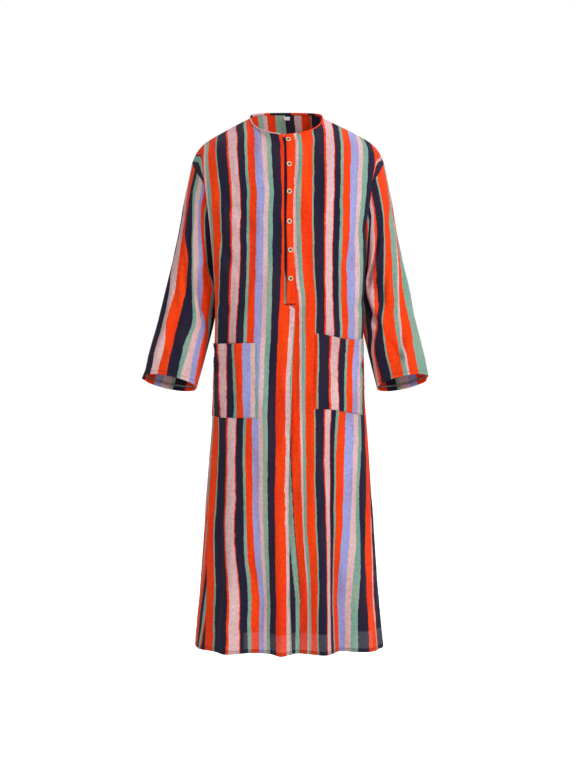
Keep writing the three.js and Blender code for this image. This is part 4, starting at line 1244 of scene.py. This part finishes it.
# Overlock: bars that run to and fro across the line
def overlockRow(line, phase, width, lift, pitch, depth):
    places, at = resample(*line, pitch)
    middle, normals = at(places + pitch * phase)
    ahead, _ = at(places + pitch * (phase + 0.5))
    along = unit(ahead - middle)
    way = np.where(np.arange(len(places)) % 2 == 0, 1.0, -1.0)[:, None]
    aside = np.cross(normals, along) * depth / 2 * way
    middle = middle + normals * lift
    return threadBars(middle + aside, middle - aside + along * pitch, normals, width)


# One piece from several rows of stitches
def joinThreads(name, rows, material):
    starts = np.cumsum([0] + [len(points) for points, _ in rows])
    points = np.concatenate([points for points, _ in rows])
    faces = np.concatenate([faces + start for (_, faces), start in zip(rows, starts)])
    linkMesh(name, points, faces, material, flat=True)


# A line that ends where it began
def closed(line):
    return [np.vstack([table, table[:1]]) for table in line]


def buildStitches():
    hemLines = [sheetLine(sheet, row=stitches["hemRow"]) for sheet in (frontSheet, backSheet)]
    joinThreads("hemStitches", [stitchRow(line, **stitches["hem"]) for line in hemLines], darkThreadAndHoleShade)
    sleeves = (leftSleeveSheet, rightSleeveSheet)
    cuffLines = [closed(sheetLine(sheet, row=stitches["cuffRow"])) for sheet in sleeves]
    joinThreads("cuffStitches", [stitchRow(line, **stitches["cuff"]) for line in cuffLines], darkThreadAndHoleShade)
    pocketLines = []
    for sheet in (leftPocketSheet, rightPocketSheet):
        last = sheet[0].shape[1] - 1
        edges = (stitches["pocketEdge"], last - stitches["pocketEdge"])
        pocketLines += [sheetLine(sheet, column=column) for column in edges]
        pocketLines += [sheetLine(sheet, row=row) for row in stitches["pocketRows"]]
    pocketRows = [stitchRow([table[1:-1] for table in line]) for line in pocketLines]
    joinThreads("pocketStitches", pocketRows, darkThreadAndHoleShade)
    lines = [sheetLine(overSheet, column=column) for column in stitches["bandColumns"]]
    joinThreads("placketStitches", [stitchRow(line, **stitches["band"]) for line in lines], orangeThread)
    lines = [sheetLine(overSheet, row=row) for row in stitches["endRows"]]
    joinThreads("placketEnd", [stitchRow(line, **stitches["bandEnd"]) for line in lines], darkThreadAndHoleShade)
    overLines = [closed(sheetLine(sheet, row=stitches["overlockRow"])) for sheet in sleeves]
    for name, material, phase, width, lift in (
        ("overlockDark", darkThreadAndHoleShade, 0.0, 0.75, 0.15), ("overlockPale", whiteThread, 0.5, 0.4, 0.25),
    ):
        rows = [overlockRow(line, phase, width, lift, **stitches["overlock"]) for line in overLines]
        joinThreads(name, rows, material)


buildStitches()
print("stitching made")

# stage and light: sizes and places in metres
stage = {
    "reach": 300, "level": -1.75, "grey": 0.93,
    # how brightly the floor and the sky shine on the cloth; the camera sees both as plain white
    "floorGlow": 0.2, "skyGlow": 0.32,
    # place, aim, side and power of each light
    "lights": {
        "key": ((2.5, -2.7, 1.75), (0, 0, -0.3), 1.4, 113),
        "fill": ((-2.6, -3.2, 0.5), (0, 0, -0.4), 2.2, 23),
        "topLight": ((0.2, 0.8, 2.2), (0, 0, -0.4), 1.8, 26),
    },
}


# One as the camera sees it, and glow as it lights the cloth
def seenOrGlow(tree, glow):
    return remap(tree, addNode(tree, "LightPath").outputs["Is Camera Ray"], 0.0, 1.0, glow, 1.0)


# A floor that glows a little on the cloth and shows plain white
def buildFloor():
    floorPaint, tree, shader = newMaterial("floorPaint")
    shader.inputs["Base Color"].default_value = (stage["grey"],) * 3 + (1,)
    shader.inputs["Roughness"].default_value = 1.0
    shader.inputs["Specular IOR Level"].default_value = 0.0
    shader.inputs["Emission Color"].default_value = (1, 1, 1, 1)
    tree.links.new(seenOrGlow(tree, stage["floorGlow"]), shader.inputs["Emission Strength"])
    mesh = bpy.data.meshes.new("floor")
    signs = ((-1, -1), (1, -1), (1, 1), (-1, 1))
    corners = [(x * stage["reach"], y * stage["reach"], stage["level"]) for x, y in signs]
    mesh.from_pydata(corners, [], [(0, 1, 2, 3)])
    mesh.materials.append(floorPaint)
    floor = bpy.data.objects.new("floor", mesh)
    scene.collection.objects.link(floor)


def buildSky():
    world = bpy.data.worlds.new("world")
    scene.world = world
    world.use_nodes = True
    sky = world.node_tree
    background = sky.nodes["Background"]
    background.inputs["Color"].default_value = (1, 1, 1, 1)
    sky.links.new(seenOrGlow(sky, stage["skyGlow"]), background.inputs["Strength"])


# A square light that faces its aim
def addLight(name, place, aim, side, power):
    data = bpy.data.lights.new(name, "AREA")
    data.size = side
    data.energy = power
    light = bpy.data.objects.new(name, data)
    light.location = place
    x, y, z = np.subtract(aim, place)
    light.rotation_euler = (math.atan2(math.hypot(x, y), -z), 0, math.atan2(y, x) - math.pi / 2)
    scene.collection.objects.link(light)


buildFloor()
buildSky()
for name, values in stage["lights"].items():
    addLight(name, *values)
scene.view_settings.view_transform = "Standard"
print("stage and lights ready")
